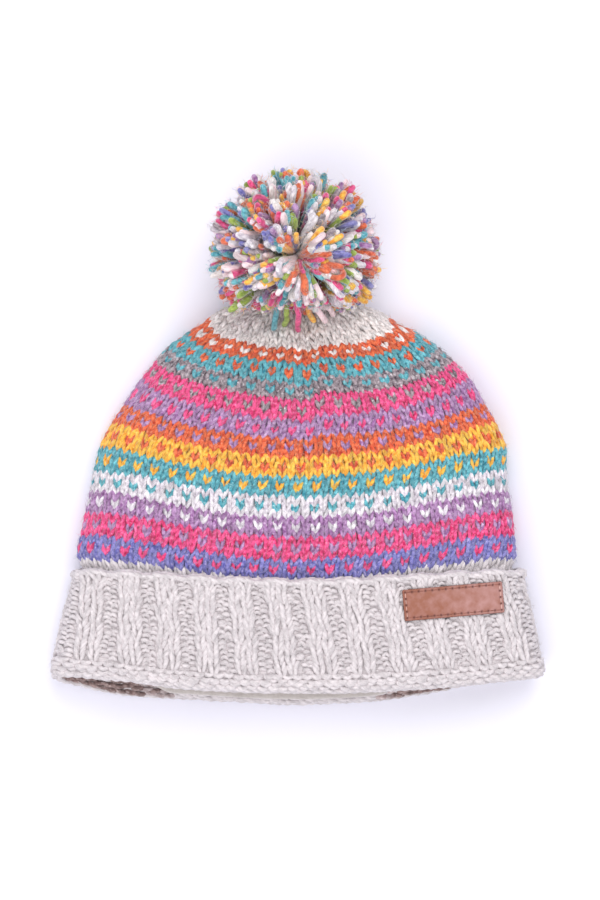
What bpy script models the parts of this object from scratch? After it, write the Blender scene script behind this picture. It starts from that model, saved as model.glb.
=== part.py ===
"""A knitted pom-pom hat with a turned-up ribbed cuff, lying on its back.

Metres, +Z up. X runs across the hat, +Y from the hem towards the pom-pom, and the back lies on Z = 0.
Every knitted piece follows one body surface: rings of knitting, wound round the flattened hat.
A piece's stand is how far its face is outside that surface, and a negative stand is inside it.
"""

import math
import random

import bmesh
import bpy
import numpy as np
from mathutils import Vector
from mathutils.bvhtree import BVHTree

# Overall form of the hat as it lies
HAT_LENGTH = 0.211  # from the line of the hem to the gathered tip
HALF_WIDTH = 0.1157  # of the crown at its fullest
LOFT = 0.041  # greatest height of the crown's front above the table
CREASE = 0.0115  # height of the folded sides above the table
ARCH_POWER = 2.6  # roundness of the front, seen along Y: 2 is an ellipse
BACK_POWER = 3.6  # roundness of the back's corners
BACK_PRESS = 1.15  # how firmly the back is pressed flat on the table
TIP_START = 0.95  # share of the length where the tip begins to close

# Knitted walls
CROWN_WALL = 0.004
CUFF_WALL = 0.004
CUFF_CLEARANCE = 0.001  # air between the turned-up cuff and the wall behind it
RIB_COUNT = 25
RIB_DEPTH = 0.0015
RIB_COLUMNS = 4  # two columns on a rib and two in the furrow beside it
EDGE_ROLL = 0.0012  # how far the free edge rolls outwards
HEM_DEPTH = 0.016  # garter-stitch hem below the ribs
HEM_RIDGES = 3
RIDGE_DEPTH = 0.0012
RIB_LEAN = 0.006  # how far the ribs lean to the right on their way down, at most
LEAN_PLACE = 0.17  # where they lean most, and how widely, as shares of the half width
LEAN_SPREAD = 0.48
FOLD_STEPS = 4
SEAM_GAP = 0.0003  # between pieces that touch
CUFF_FURROW = CUFF_CLEARANCE + CUFF_WALL
CUFF_STAND = CUFF_FURROW + RIB_DEPTH

# Gathers that draw the crown in under the pom-pom
GATHER_COUNT = 10
GATHER_DEPTH = 0.0012
GATHER_START = 0.86

# Fleece band inside the cuff
LINING_WALL = 0.0018
LINING_SET_BACK = 0.0035  # from the hem to the band's lower edge
LINING_HEIGHT = 0.034

# Leather tag on the cuff
TAG_LENGTH = 0.0525
TAG_HEIGHT = 0.0163
TAG_THICKNESS = 0.0016
TAG_ACROSS = 0.70  # its centre's place, as a share of the half width
TAG_UP = 0.83  # and as a share of the way from the hem to the cuff's free edge
TAG_TILT = math.radians(5)
TAG_CELLS = (12, 3)
TAG_BEVEL = 0.0004

# Pom-pom
POMPOM_RADIUS = 0.0435
POMPOM_HEART = 0.66  # share of the radius where the locks part
POMPOM_PAST_TIP = 0.48  # share of the radius that its centre lies past the crown's tip
POMPOM_PRESS = 0.003  # how far its own weight flattens it
LOCK_TAPER = 0.55
LOCK_UNEVEN = 0.04  # of the locks' lengths, as a share
LOCK_SHEAR = 0.05
LOCK_DETAIL = 3  # subdivisions of the sphere that the locks grow from
SEAT_GAP = 0.0005  # between the pom-pom and the crown's tip
DRAW_BACK_STEP = 0.97

RING_SAMPLES = 480
CROWN_COLUMNS = RIB_COUNT * 2
CUFF_COLUMNS = RIB_COUNT * RIB_COLUMNS

# The body surface, section by section. All columns are shares: along of HAT_LENGTH, width and
# shift (of the section's middle) of HALF_WIDTH, loft of LOFT, crease of CREASE, and lift of
# CUFF_STAND, by which the cuff under it holds the back up.
SECTION_COLUMNS = ("along", "width", "shift", "loft", "crease", "lift")
SECTIONS = (
    (-0.045, 1.075, 0.000, 0.760, 1.52, 1.00),
    (0.050, 1.068, 0.000, 0.775, 1.52, 1.00),
    (0.120, 1.046, 0.000, 0.800, 1.50, 1.00),
    (0.200, 1.014, 0.003, 0.825, 1.45, 1.00),
    (0.315, 0.970, 0.000, 0.865, 1.38, 1.00),
    (0.360, 0.997, -0.003, 0.905, 1.20, 0.55),
    (0.410, 0.986, 0.003, 0.945, 1.05, 0.10),
    (0.464, 0.970, 0.009, 0.980, 1.00, 0.00),
    (0.565, 0.938, 0.012, 1.000, 1.00, 0.00),
    (0.625, 0.925, 0.022, 0.995, 1.00, 0.00),
    (0.685, 0.874, 0.024, 0.965, 0.98, 0.00),
    (0.732, 0.822, 0.026, 0.925, 0.95, 0.00),
    (0.770, 0.782, 0.031, 0.890, 0.95, 0.00),
    (0.810, 0.728, 0.034, 0.850, 0.95, 0.00),
    (0.845, 0.672, 0.031, 0.800, 0.97, 0.00),
    (0.879, 0.612, 0.027, 0.740, 1.00, 0.00),
    (0.916, 0.512, 0.024, 0.660, 1.05, 0.10),
    (0.950, 0.405, 0.015, 0.580, 1.09, 0.30),
    (1.000, 0.330, 0.005, 0.500, 1.09, 0.60),
)

# Rings of the crown's knitting, one at each change of colour. side, front and back are the shares
# of HAT_LENGTH at which a ring crosses the folded sides and the middles, and bow is how widely it
# bows. steps is the number of facets up to the next ring.
RING_COLUMNS = ("side", "front", "back", "bow", "steps")
CROWN_RINGS = (
    (0.2700, 0.2300, 0.2300, 2.00, 3),
    (0.3464, 0.2943, 0.2943, 2.00, 2),
    (0.4043, 0.3427, 0.3427, 1.90, 1),
    (0.4635, 0.3981, 0.3981, 1.80, 1),
    (0.5152, 0.4460, 0.4460, 1.65, 1),
    (0.5654, 0.4976, 0.4976, 1.50, 1),
    (0.6246, 0.5469, 0.5469, 1.35, 1),
    (0.6853, 0.5962, 0.5962, 1.20, 1),
    (0.7318, 0.6431, 0.6431, 1.05, 1),
    (0.7986, 0.6924, 0.6924, 0.90, 1),
    (0.8441, 0.7469, 0.7469, 0.88, 1),
    (0.8787, 0.7863, 0.7863, 0.86, 1),
    (0.9156, 0.8341, 0.8341, 0.85, 1),
    (0.9502, 0.8673, 0.8673, 0.85, 4),
    (0.9960, 0.9820, 0.9820, 0.90, 0),
)
HEM_RING = dict(side=0.052, front=0.016, back=-0.014, bow=1.1)
CUFF_EDGE_RING = dict(side=0.310, front=0.289, back=0.289, bow=2.5)
INSIDE_EVERY = 2  # the crown's inner face has one ring of facets for this many outside

# Wool colours, and the crown's bands from the cuff up, each named for its main yarn
YARNS = {
    "oatmeal": (0.68, 0.63, 0.58),
    "periwinkle": (0.20, 0.25, 0.55),
    "pink": (0.80, 0.07, 0.24),
    "lilac": (0.42, 0.27, 0.54),
    "ivory": (0.80, 0.78, 0.76),
    "teal": (0.10, 0.42, 0.47),
    "yellow": (0.83, 0.47, 0.05),
    "orange": (0.72, 0.17, 0.06),
    "grey": (0.33, 0.29, 0.30),
}
CROWN_BANDS = (
    "oatmeal", "periwinkle", "pink", "lilac", "ivory", "teal", "yellow",
    "orange", "lilac", "pink", "grey", "teal", "orange", "oatmeal",
)
FLEECE_COLOUR = (0.74, 0.71, 0.63)
LEATHER_COLOUR = (0.47, 0.20, 0.11)
POMPOM_COLOUR = (0.60, 0.42, 0.42)


def clear_scene():
    for obj in list(bpy.data.objects):
        bpy.data.objects.remove(obj)


def material(name, colour, roughness):
    made = bpy.data.materials.new(name)
    made.use_nodes = True
    shader = made.node_tree.nodes["Principled BSDF"]
    shader.inputs["Base Color"].default_value = (*colour, 1)
    shader.inputs["Roughness"].default_value = roughness
    made.diffuse_color = (*colour, 1)
    return made


def smooth_curve(xs, ys, at):
    """A smooth curve through the points (xs, ys) that never overshoots them, read at each of at."""
    xs, ys = np.asarray(xs, float), np.asarray(ys, float)
    at = np.clip(np.asarray(at, float), xs[0], xs[-1])
    slope = np.diff(ys) / np.diff(xs)
    low, high = slope[:-1], slope[1:]
    same_way = low * high > 0
    mean = np.where(same_way, 2 * low * high / np.where(same_way, low + high, 1), 0)
    tangent = np.concatenate([slope[:1], mean, slope[-1:]])
    i = np.clip(np.searchsorted(xs, at) - 1, 0, len(xs) - 2)
    step = xs[i + 1] - xs[i]
    f = (at - xs[i]) / step
    bend = tangent[i] * step * f * (1 - f) ** 2 - tangent[i + 1] * step * f**2 * (1 - f)
    return ys[i] + (ys[i + 1] - ys[i]) * (3 * f**2 - 2 * f**3) + bend


def section(column, along):
    table = np.array(SECTIONS)
    return smooth_curve(table[:, 0], table[:, SECTION_COLUMNS.index(column)], along)


def body_point(turn, along, stand=0.0):
    """Points that stand off the body surface. turn is 0 at the right fold and a quarter turn in front."""
    stand = np.asarray(stand, float)
    width = section("width", along) * HALF_WIDTH + stand
    crease = section("crease", along) * CREASE
    front = section("loft", along) * LOFT + stand
    back = np.maximum(0, section("lift", along) * CUFF_STAND - stand)
    past = np.clip((np.asarray(along, float) - TIP_START) / (1 - TIP_START), 0, 1)
    closing = np.sqrt(1 - past**2)
    c, s = np.cos(turn), np.sin(turn)
    power = np.where(s >= 0, 2 / ARCH_POWER, 2 / BACK_POWER)
    across, up = np.abs(c) ** power, np.abs(s) ** power
    rise = np.where(s >= 0, (front - crease) * up, (back - crease) * np.minimum(1, BACK_PRESS * up))
    x = section("shift", along) * HALF_WIDTH + width * closing * np.sign(c) * across
    y = np.asarray(along) * HAT_LENGTH + stand * past
    return np.stack([x, y + 0 * rise, crease + rise * closing], axis=-1)


def ring_along(ring, turn):
    """Where a ring of knitting lies along the hat, at each turn round it."""
    c, s = np.cos(turn), np.sin(turn)
    power = np.where(s >= 0, 4 / ARCH_POWER, 4 / BACK_POWER)
    bowed = np.clip(1 - np.abs(c) ** power, 0, 1) ** ring["bow"]
    middle = np.where(s >= 0, ring["front"], ring["back"])
    return ring["side"] + (middle - ring["side"]) * bowed


def between(first, second, share):
    return {key: first[key] + (second[key] - first[key]) * share for key in ("side", "front", "back", "bow")}


def shifted(ring, distance):
    """The same ring, moved a distance in metres towards the tip."""
    moved = {key: ring[key] + distance / HAT_LENGTH for key in ("side", "front", "back")}
    return dict(moved, bow=ring["bow"])


def even_turns(ring, shares):
    """The turns at which points lie along a ring at these shares of its length, from the back's middle."""
    turns = np.linspace(-math.pi / 2, 3 * math.pi / 2, RING_SAMPLES + 1)
    points = body_point(turns, ring_along(ring, turns))
    lengths = np.concatenate([[0], np.cumsum(np.linalg.norm(np.diff(points, axis=0), axis=1))])
    whole, part = np.divmod(shares, 1)
    return np.interp(part * lengths[-1], lengths, turns) + whole * 2 * math.pi


def ring_points(ring, shares, stand):
    turns = even_turns(ring, shares)
    return body_point(turns, ring_along(ring, turns), stand)


def even_shares(count):
    return np.arange(count) / count


def add_object(name, bm, materials, parent):
    bmesh.ops.recalc_face_normals(bm, faces=bm.faces)
    mesh = bpy.data.meshes.new(name)
    bm.to_mesh(mesh)
    bm.free()
    for made in materials:
        mesh.materials.append(made)
    mesh.shade_smooth()
    mesh.set_sharp_from_angle(angle=math.radians(40))
    obj = bpy.data.objects.new(name, mesh)
    bpy.context.scene.collection.objects.link(obj)
    obj.parent = parent
    return obj


def join_rings(bm, low, high, slot=0):
    for j in range(len(low)):
        k = (j + 1) % len(low)
        face = bm.faces.new((low[j], low[k], high[k], high[j]))
        face.material_index = slot


def wind(bm, rings, slots=None):
    """Faces between each ring of points and the next. Returns the rings' vertices."""
    made = [[bm.verts.new(point) for point in ring] for ring in rings]
    for level, (low, high) in enumerate(zip(made, made[1:])):
        join_rings(bm, low, high, slots[level] if slots else 0)
    return made


def crown_levels():
    """The crown's rings of facets from the bottom up, and the yarn of the facets above each."""
    table = [dict(zip(RING_COLUMNS, row)) for row in CROWN_RINGS]
    levels, yarns = [], []
    for ring, higher, yarn in zip(table, table[1:], CROWN_BANDS):
        for step in range(ring["steps"]):
            levels.append(between(ring, higher, step / ring["steps"]))
            yarns.append(yarn)
    levels.append(between(table[-1], table[-1], 0))
    return levels, yarns


def gather_wave(ring, shares):
    """The soft pleats near the tip, as a stand for each column."""
    middle = (ring["front"] + ring["side"]) / 2
    fade = min(1, max(0, (middle - GATHER_START) / (1 - GATHER_START)))
    return np.sin(2 * math.pi * GATHER_COUNT * shares) * GATHER_DEPTH * math.sin(math.pi * fade)


def close_tip(bm, ring, stand):
    tip = bm.verts.new(body_point(math.pi / 2, 1.0, stand))
    for j in range(len(ring)):
        bm.faces.new((ring[j], ring[(j + 1) % len(ring)], tip))


def make_crown(yarns, parent):
    """The striped crown: a wall in bands of colour, gathered to a closed tip."""
    bm = bmesh.new()
    shares = even_shares(CROWN_COLUMNS)
    levels, bands = crown_levels()
    names = list(dict.fromkeys(CROWN_BANDS))
    outside = [ring_points(ring, shares, gather_wave(ring, shares)) for ring in levels]
    outer = wind(bm, outside, [names.index(name) for name in bands])
    close_tip(bm, outer[-1], 0)
    inner_levels = levels[:-1:INSIDE_EVERY] + levels[-1:]
    inner = wind(bm, [ring_points(ring, shares, -CROWN_WALL) for ring in inner_levels])
    close_tip(bm, inner[-1], -CROWN_WALL)
    join_rings(bm, outer[0], inner[0])
    return add_object("crown", bm, [yarns[name] for name in names], parent)


def rib_wave():
    """1 on a rib and 0 in a furrow, for each column round the cuff."""
    return ((np.arange(CUFF_COLUMNS) % RIB_COLUMNS) < RIB_COLUMNS // 2).astype(float)


def leaning(shares, ring, down):
    """The columns' shares, moved so that the ribs lean to the right on their way down the front."""
    points = body_point(even_turns(ring, shares), ring["side"])
    front = np.clip(points[:, 2] / LOFT, 0, 1)
    off_place = points[:, 0] / HALF_WIDTH - LEAN_PLACE
    pull = np.exp(-((off_place / LEAN_SPREAD) ** 2)) * front
    return shares - pull * RIB_LEAN / (4 * HALF_WIDTH) * down


def cuff_profile():
    """The cuff's section, once round it: up the inner face, over the seam, down the pocket behind the
    flap, up the flap's inner face, over its free edge, down its ribs and hem, and round the fold.

    Each row is (ring, stand, share of the rib's depth, share of the lean).
    """
    fold_radius = (CUFF_STAND + CUFF_WALL) / 2
    fold_middle = (CUFF_STAND - CUFF_WALL) / 2
    seam = shifted(dict(zip(RING_COLUMNS, CROWN_RINGS[0])), -SEAM_GAP)
    turned = shifted(HEM_RING, fold_radius)
    edge = CUFF_EDGE_RING
    pocket = CUFF_CLEARANCE / 2
    rows = [(between(turned, seam, share), -CUFF_WALL, 0, 1 - share) for share in (0, 0.33, 0.66, 1)]
    rows += [(between(seam, turned, share), 0, 0, share) for share in (0, 0.33, 0.66, 1)]
    rows.append((shifted(turned, -pocket), pocket, 0, 1))
    rows += [(between(turned, edge, share), CUFF_CLEARANCE, 0, 1 - share) for share in (0, 0.33, 0.66)]
    rows += [(edge, CUFF_CLEARANCE, 0, 0), (shifted(edge, EDGE_ROLL), CUFF_FURROW, 1, 0)]
    flap = (edge["front"] - turned["front"]) * HAT_LENGTH
    hem_top = (HEM_DEPTH - fold_radius) / flap
    for down in (0.03, 0.09, 0.50, 0.96):
        share = 1 - down * (1 - hem_top)
        rolled = EDGE_ROLL * max(0, 1 - down / 0.06)
        rows.append((between(turned, edge, share), CUFF_FURROW + rolled, 1, 1 - share))
    ridge_steps = 2 * (HEM_RIDGES - 1)
    for step in range(ridge_steps, 0, -1):
        share = hem_top * (step - 0.5) / ridge_steps
        hollow = RIDGE_DEPTH * (step % 2)
        rows.append((between(turned, edge, share), CUFF_STAND - hollow, 0, 1 - share))
    for step in range(FOLD_STEPS):
        angle = math.pi * (step + 0.5) / FOLD_STEPS
        ring = shifted(turned, -fold_radius * math.sin(angle))
        rows.append((ring, fold_middle + fold_radius * math.cos(angle), 0, 1))
    return rows


def make_cuff(yarn, parent):
    """The ribbed cuff: one length of fabric, turned up at the hem."""
    bm = bmesh.new()
    wave = rib_wave()
    rings = []
    for ring, stand, ribbed, lean in cuff_profile():
        shares = leaning(even_shares(CUFF_COLUMNS), ring, lean)
        rings.append(ring_points(ring, shares, stand + RIB_DEPTH * ribbed * wave))
    made = wind(bm, rings)
    join_rings(bm, made[-1], made[0])
    return add_object("cuff", bm, [yarn], parent)


def make_lining(fleece, parent):
    """The fleece band inside the cuff, seen at the opening."""
    bm = bmesh.new()
    low = shifted(HEM_RING, LINING_SET_BACK)
    high = shifted(low, LINING_HEIGHT)
    outer = -CUFF_WALL - SEAM_GAP
    rows = [(share, outer) for share in (0, 0.25, 0.5, 0.75, 1)]
    rows += [(share, outer - LINING_WALL) for share in (1, 0.5, 0)]
    shares = even_shares(CUFF_COLUMNS // 2)
    made = wind(bm, [ring_points(between(low, high, share), shares, stand) for share, stand in rows])
    join_rings(bm, made[-1], made[0])
    return add_object("lining", bm, [fleece], parent)


def cuff_face(x, y, stand):
    """The point of the cuff's front, standing off the body surface, above plan position x, y."""
    along = y / HAT_LENGTH
    width = float(section("width", along)) * HALF_WIDTH + stand
    across = (x - float(section("shift", along)) * HALF_WIDTH) / width
    turn = math.acos(math.copysign(min(1, abs(across)) ** (ARCH_POWER / 2), across))
    return body_point(turn, along, stand)


def make_tag(leather, parent):
    """The leather tag, sewn on the ribs at the right of the cuff."""
    bm = bmesh.new()
    cells_x, cells_y = TAG_CELLS
    grid = bmesh.ops.create_grid(bm, x_segments=cells_x, y_segments=cells_y, size=0.5)
    bmesh.ops.extrude_face_region(bm, geom=list(bm.faces))
    lower = set(grid["verts"])
    middle_x = TAG_ACROSS * HALF_WIDTH
    middle_y = (HEM_RING["front"] + (CUFF_EDGE_RING["front"] - HEM_RING["front"]) * TAG_UP) * HAT_LENGTH
    cos_tilt, sin_tilt = math.cos(TAG_TILT), math.sin(TAG_TILT)
    for vert in bm.verts:
        a, b = vert.co.x * TAG_LENGTH, vert.co.y * TAG_HEIGHT
        x = middle_x + a * cos_tilt - b * sin_tilt
        y = middle_y + a * sin_tilt + b * cos_tilt
        stand = CUFF_STAND + SEAM_GAP + (0 if vert in lower else TAG_THICKNESS)
        vert.co = cuff_face(x, y, stand)
    tag = add_object("tag", bm, [leather], parent)
    edge = tag.modifiers.new("edge", "BEVEL")
    edge.width = TAG_BEVEL
    edge.segments = 1
    edge.limit_method = "ANGLE"
    return tag


def crown_clearance():
    """The crown's outer surface, standing off by the gap that the pom-pom keeps from it."""
    bm = bmesh.new()
    shares = even_shares(CROWN_COLUMNS)
    levels = crown_levels()[0]
    made = wind(bm, [ring_points(ring, shares, gather_wave(ring, shares) + SEAT_GAP) for ring in levels])
    close_tip(bm, made[-1], SEAT_GAP)
    tree = BVHTree.FromBMesh(bm)
    bm.free()
    return tree


def above_table(centre, direction, wanted):
    """How far a lock's corner can reach before it meets the table."""
    if direction.z < 0:
        return min(wanted, centre.z / -direction.z)
    return wanted


def draw_back(bm, centre, tree):
    """Draws in the locks that a surface presses, until all of them are clear of it."""
    while True:
        pressed = {face for face, _ in BVHTree.FromBMesh(bm).overlap(tree)}
        if not pressed:
            return
        bm.faces.ensure_lookup_table()
        for vert in {vert for face in pressed for vert in bm.faces[face].verts}:
            vert.co = centre + (vert.co - centre) * DRAW_BACK_STEP


def make_pompom(wool, parent):
    """The pom-pom: locks of yarn that part near its heart, on the table and against the crown's tip."""
    chance = random.Random(7)
    past_tip = POMPOM_PAST_TIP * POMPOM_RADIUS
    centre = Vector((0, HAT_LENGTH + past_tip, POMPOM_RADIUS - POMPOM_PRESS))
    bm = bmesh.new()
    bmesh.ops.create_icosphere(bm, subdivisions=LOCK_DETAIL, radius=1)
    locks = list(bm.faces)
    bmesh.ops.inset_individual(bm, faces=locks, thickness=0.01, depth=0)
    tips = set()
    for lock in locks:
        middle = lock.calc_center_median().normalized()
        shear = Vector([chance.uniform(-LOCK_SHEAR, LOCK_SHEAR) for _ in range(3)])
        wanted = POMPOM_RADIUS * (1 + chance.uniform(-LOCK_UNEVEN, LOCK_UNEVEN))
        for vert in lock.verts:
            way = (middle + (vert.co.normalized() - middle) * LOCK_TAPER + shear).normalized()
            vert.co = way * above_table(centre, way, wanted)
            tips.add(vert)
    for vert in bm.verts:
        if vert not in tips:
            vert.co = vert.co.normalized() * POMPOM_HEART * POMPOM_RADIUS
    bmesh.ops.translate(bm, verts=bm.verts, vec=centre)
    draw_back(bm, centre, crown_clearance())
    return add_object("pompom", bm, [wool], parent)


def lowest_and_highest(objects):
    graph = bpy.context.evaluated_depsgraph_get()
    graph.update()
    corners = [obj.matrix_world @ Vector(corner) for obj in objects for corner in obj.evaluated_get(graph).bound_box]
    low = Vector([min(c[i] for c in corners) for i in range(3)])
    high = Vector([max(c[i] for c in corners) for i in range(3)])
    return low, high


def main():
    clear_scene()
    hat = bpy.data.objects.new("hat", None)
    bpy.context.scene.collection.objects.link(hat)
    yarns = {name: material(name, colour, 0.9) for name, colour in YARNS.items()}
    pieces = [
        make_crown(yarns, hat),
        make_cuff(yarns["oatmeal"], hat),
        make_lining(material("fleece", FLEECE_COLOUR, 0.95), hat),
        make_tag(material("leather", LEATHER_COLOUR, 0.6), hat),
        make_pompom(material("pompom_wool", POMPOM_COLOUR, 0.9), hat),
    ]
    low, high = lowest_and_highest(pieces)
    hat.location = (-(low.x + high.x) / 2, -(low.y + high.y) / 2, -low.z)


main()
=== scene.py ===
# %% [markdown]
# # A hand-knitted pom-pom hat, lying on its back
# Chunky striped wool, a turned-up ribbed cuff, a bare leather tag and a pom-pom of cut yarn.
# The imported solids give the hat's size and place. Here each of them gets its real surface:
# every stitch is modelled as plump yarn on a cloth grid, so the knitting holds up from all sides.

# %% Load the frame
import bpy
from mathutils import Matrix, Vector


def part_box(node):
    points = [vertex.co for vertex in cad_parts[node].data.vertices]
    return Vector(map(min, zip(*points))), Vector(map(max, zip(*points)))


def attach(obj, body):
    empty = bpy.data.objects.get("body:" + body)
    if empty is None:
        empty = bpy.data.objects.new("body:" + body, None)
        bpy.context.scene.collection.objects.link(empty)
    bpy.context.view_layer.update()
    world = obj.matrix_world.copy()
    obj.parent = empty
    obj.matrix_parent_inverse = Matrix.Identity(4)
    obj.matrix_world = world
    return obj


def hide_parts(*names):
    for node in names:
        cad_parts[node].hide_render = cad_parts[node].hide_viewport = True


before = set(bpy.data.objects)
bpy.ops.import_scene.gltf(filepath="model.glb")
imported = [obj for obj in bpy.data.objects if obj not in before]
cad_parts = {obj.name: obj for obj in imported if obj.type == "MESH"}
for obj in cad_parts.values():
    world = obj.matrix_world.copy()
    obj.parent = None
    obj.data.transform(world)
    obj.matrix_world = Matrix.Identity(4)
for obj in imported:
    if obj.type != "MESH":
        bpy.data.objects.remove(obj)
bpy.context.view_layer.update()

# %% Imports and the one source of chance
import math

import bpy
import numpy as np
from mathutils import Vector
from mathutils.bvhtree import BVHTree

chance = np.random.default_rng(12)
MM = 0.001

# %% [markdown]
# ## The form under the knitting
# A flattened hat is a stack of cross-sections. Each has a half width, a front height, a crease height
# at its folded sides and a back that rests on the table, and each outline is a superellipse, which is
# fuller than an ellipse. The shares below are the ones that the solids were made from, so the stitches
# land on them. Subdivision of the solid would be quicker, but it would give no rows to knit along.

# %% The body surface
HAT_LENGTH, HALF_WIDTH, LOFT, CREASE = 0.211, 0.1157, 0.041, 0.0115
ARCH_POWER, BACK_POWER, BACK_PRESS, TIP_START = 2.6, 3.6, 1.15, 0.95
CUFF_WALL, CUFF_CLEARANCE, RIB_DEPTH, CROWN_WALL = 0.004, 0.001, 0.0015, 0.004
CUFF_FURROW = CUFF_CLEARANCE + CUFF_WALL
CUFF_STAND = CUFF_FURROW + RIB_DEPTH
SECTION_COLUMNS = ("along", "width", "shift", "loft", "crease", "lift")
SECTIONS = np.array((
    (-0.045, 1.075, 0.000, 0.760, 1.52, 1.00),
    (0.050, 1.068, 0.000, 0.775, 1.52, 1.00),
    (0.120, 1.046, 0.000, 0.800, 1.50, 1.00),
    (0.200, 1.014, 0.003, 0.825, 1.45, 1.00),
    (0.315, 0.970, 0.000, 0.865, 1.38, 1.00),
    (0.360, 0.997, -0.003, 0.905, 1.20, 0.55),
    (0.410, 0.986, 0.003, 0.945, 1.05, 0.10),
    (0.464, 0.970, 0.009, 0.980, 1.00, 0.00),
    (0.565, 0.938, 0.012, 1.000, 1.00, 0.00),
    (0.625, 0.925, 0.022, 0.995, 1.00, 0.00),
    (0.685, 0.874, 0.024, 0.965, 0.98, 0.00),
    (0.732, 0.822, 0.026, 0.925, 0.95, 0.00),
    (0.770, 0.782, 0.031, 0.890, 0.95, 0.00),
    (0.810, 0.728, 0.034, 0.850, 0.95, 0.00),
    (0.845, 0.672, 0.031, 0.800, 0.97, 0.00),
    (0.879, 0.612, 0.027, 0.740, 1.00, 0.00),
    (0.916, 0.512, 0.024, 0.660, 1.05, 0.10),
    (0.950, 0.405, 0.015, 0.580, 1.09, 0.30),
    (1.000, 0.330, 0.005, 0.500, 1.09, 0.60),
))
TIP_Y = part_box("crown")[1].y
HEM_LINE_Y = TIP_Y - HAT_LENGTH


def smooth_curve(xs, ys, at):
    """A smooth curve through the points (xs, ys) that never overshoots them, read at each of at."""
    at = np.clip(np.asarray(at, float), xs[0], xs[-1])
    slope = np.diff(ys) / np.diff(xs)
    low, high = slope[:-1], slope[1:]
    same_way = low * high > 0
    mean = np.where(same_way, 2 * low * high / np.where(same_way, low + high, 1), 0)
    tangent = np.concatenate([slope[:1], mean, slope[-1:]])
    i = np.clip(np.searchsorted(xs, at) - 1, 0, len(xs) - 2)
    step = xs[i + 1] - xs[i]
    f = (at - xs[i]) / step
    bend = tangent[i] * step * f * (1 - f) ** 2 - tangent[i + 1] * step * f**2 * (1 - f)
    return ys[i] + (ys[i + 1] - ys[i]) * (3 * f**2 - 2 * f**3) + bend


def section(column, along):
    """One column of the sections, read at each of along."""
    return smooth_curve(SECTIONS[:, 0], SECTIONS[:, SECTION_COLUMNS.index(column)], along)


def body_point(turn, along, stand=0.0):
    """Points off the body surface. turn is 0 at the right fold and a quarter turn at the front."""
    stand = np.asarray(stand, float)
    width = section("width", along) * HALF_WIDTH + stand
    crease = section("crease", along) * CREASE
    front = section("loft", along) * LOFT + stand
    back = np.maximum(0, section("lift", along) * CUFF_STAND - stand)
    past = np.clip((np.asarray(along, float) - TIP_START) / (1 - TIP_START), 0, 1)
    closing = np.sqrt(1 - past**2)
    c, s = np.cos(turn), np.sin(turn)
    power = np.where(s >= 0, 2 / ARCH_POWER, 2 / BACK_POWER)
    across, up = np.abs(c) ** power, np.abs(s) ** power
    rise = np.where(s >= 0, (front - crease) * up, (back - crease) * np.minimum(1, BACK_PRESS * up))
    x = section("shift", along) * HALF_WIDTH + width * closing * np.sign(c) * across
    y = HEM_LINE_Y + np.asarray(along) * HAT_LENGTH + stand * past
    return np.stack([x, y + 0 * rise, crease + rise * closing], axis=-1)


# %% Rings of knitting
RING_COLUMNS = ("side", "front", "back", "bow")


def ring_along(ring, turn):
    """Where a ring lies along the hat: it dips from the folded sides to the middles in an arc."""
    c, s = np.cos(turn), np.sin(turn)
    power = np.where(s >= 0, 4 / ARCH_POWER, 4 / BACK_POWER)
    bowed = np.clip(1 - np.abs(c) ** power, 0, 1) ** ring[3]
    return ring[0] + (np.where(s >= 0, ring[1], ring[2]) - ring[0]) * bowed


def shifted(ring, distance):
    """The same ring, moved a distance in metres towards the tip."""
    return np.asarray(ring, float) + np.array([1, 1, 1, 0]) * distance / HAT_LENGTH


def between(first, second, share):
    """A ring that lies a share of the way from the first to the second."""
    return np.asarray(first) + (np.asarray(second) - np.asarray(first)) * share


# %% [markdown]
# ## A cloth grid
# A stitch needs to know where it is: u is its share of the way round, v its row, and stand how far it
# lies off the surface. A grid of points and normals, read between its points, answers that for all the
# stitches at once, which numpy does far faster than a modifier or a loop over each stitch.

# %% Weave a grid and read it
GRID_COLUMNS = 720
TURN_SAMPLES = 720
LEVELS_PER_ROW = 2  # a grid has two levels of points for a row of stitches


def grid_normals(points):
    """Outward normals of a grid of points, whose columns run round."""
    around = np.roll(points, -1, axis=1) - np.roll(points, 1, axis=1)
    normals = np.cross(np.gradient(points, axis=0), around)
    return normals / np.maximum(np.linalg.norm(normals, axis=2, keepdims=True), 1e-12)


def cloth_grid(rings, lean=None, drift=None):
    """Points and outward normals for a list of rings, each walked evenly from the back's middle."""
    turns = np.linspace(-math.pi / 2, 3 * math.pi / 2, TURN_SAMPLES + 1)
    shares = np.arange(GRID_COLUMNS) / GRID_COLUMNS
    rows = []
    for number, ring in enumerate(rings):
        points = body_point(turns, ring_along(ring, turns))
        steps = np.linalg.norm(np.diff(points, axis=0), axis=1)
        lengths = np.concatenate([[0], np.cumsum(steps)]) / steps.sum()
        own = shares if lean is None else shares - lean(shares, lengths, points, number)
        whole, part = np.divmod(own, 1)
        at = np.interp(part, lengths, turns) + whole * 2 * math.pi
        along = ring_along(ring, at)
        if drift is not None:
            along = along + drift(body_point(at, along), along)
        rows.append(body_point(at, along))
    points = np.array(rows)
    return points, grid_normals(points)


SAG_X, SAG_REACH, SAG_TURN = -100 * MM, 34 * MM, 3.2 * MM
HEM_LIFT, HEM_DROP, SAG_END = 2.2 * MM, 3.8 * MM, 0.25
TUCK_X, TUCK_REACH, HEM_TUCK = 92 * MM, 26 * MM, 2.4 * MM


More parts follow.
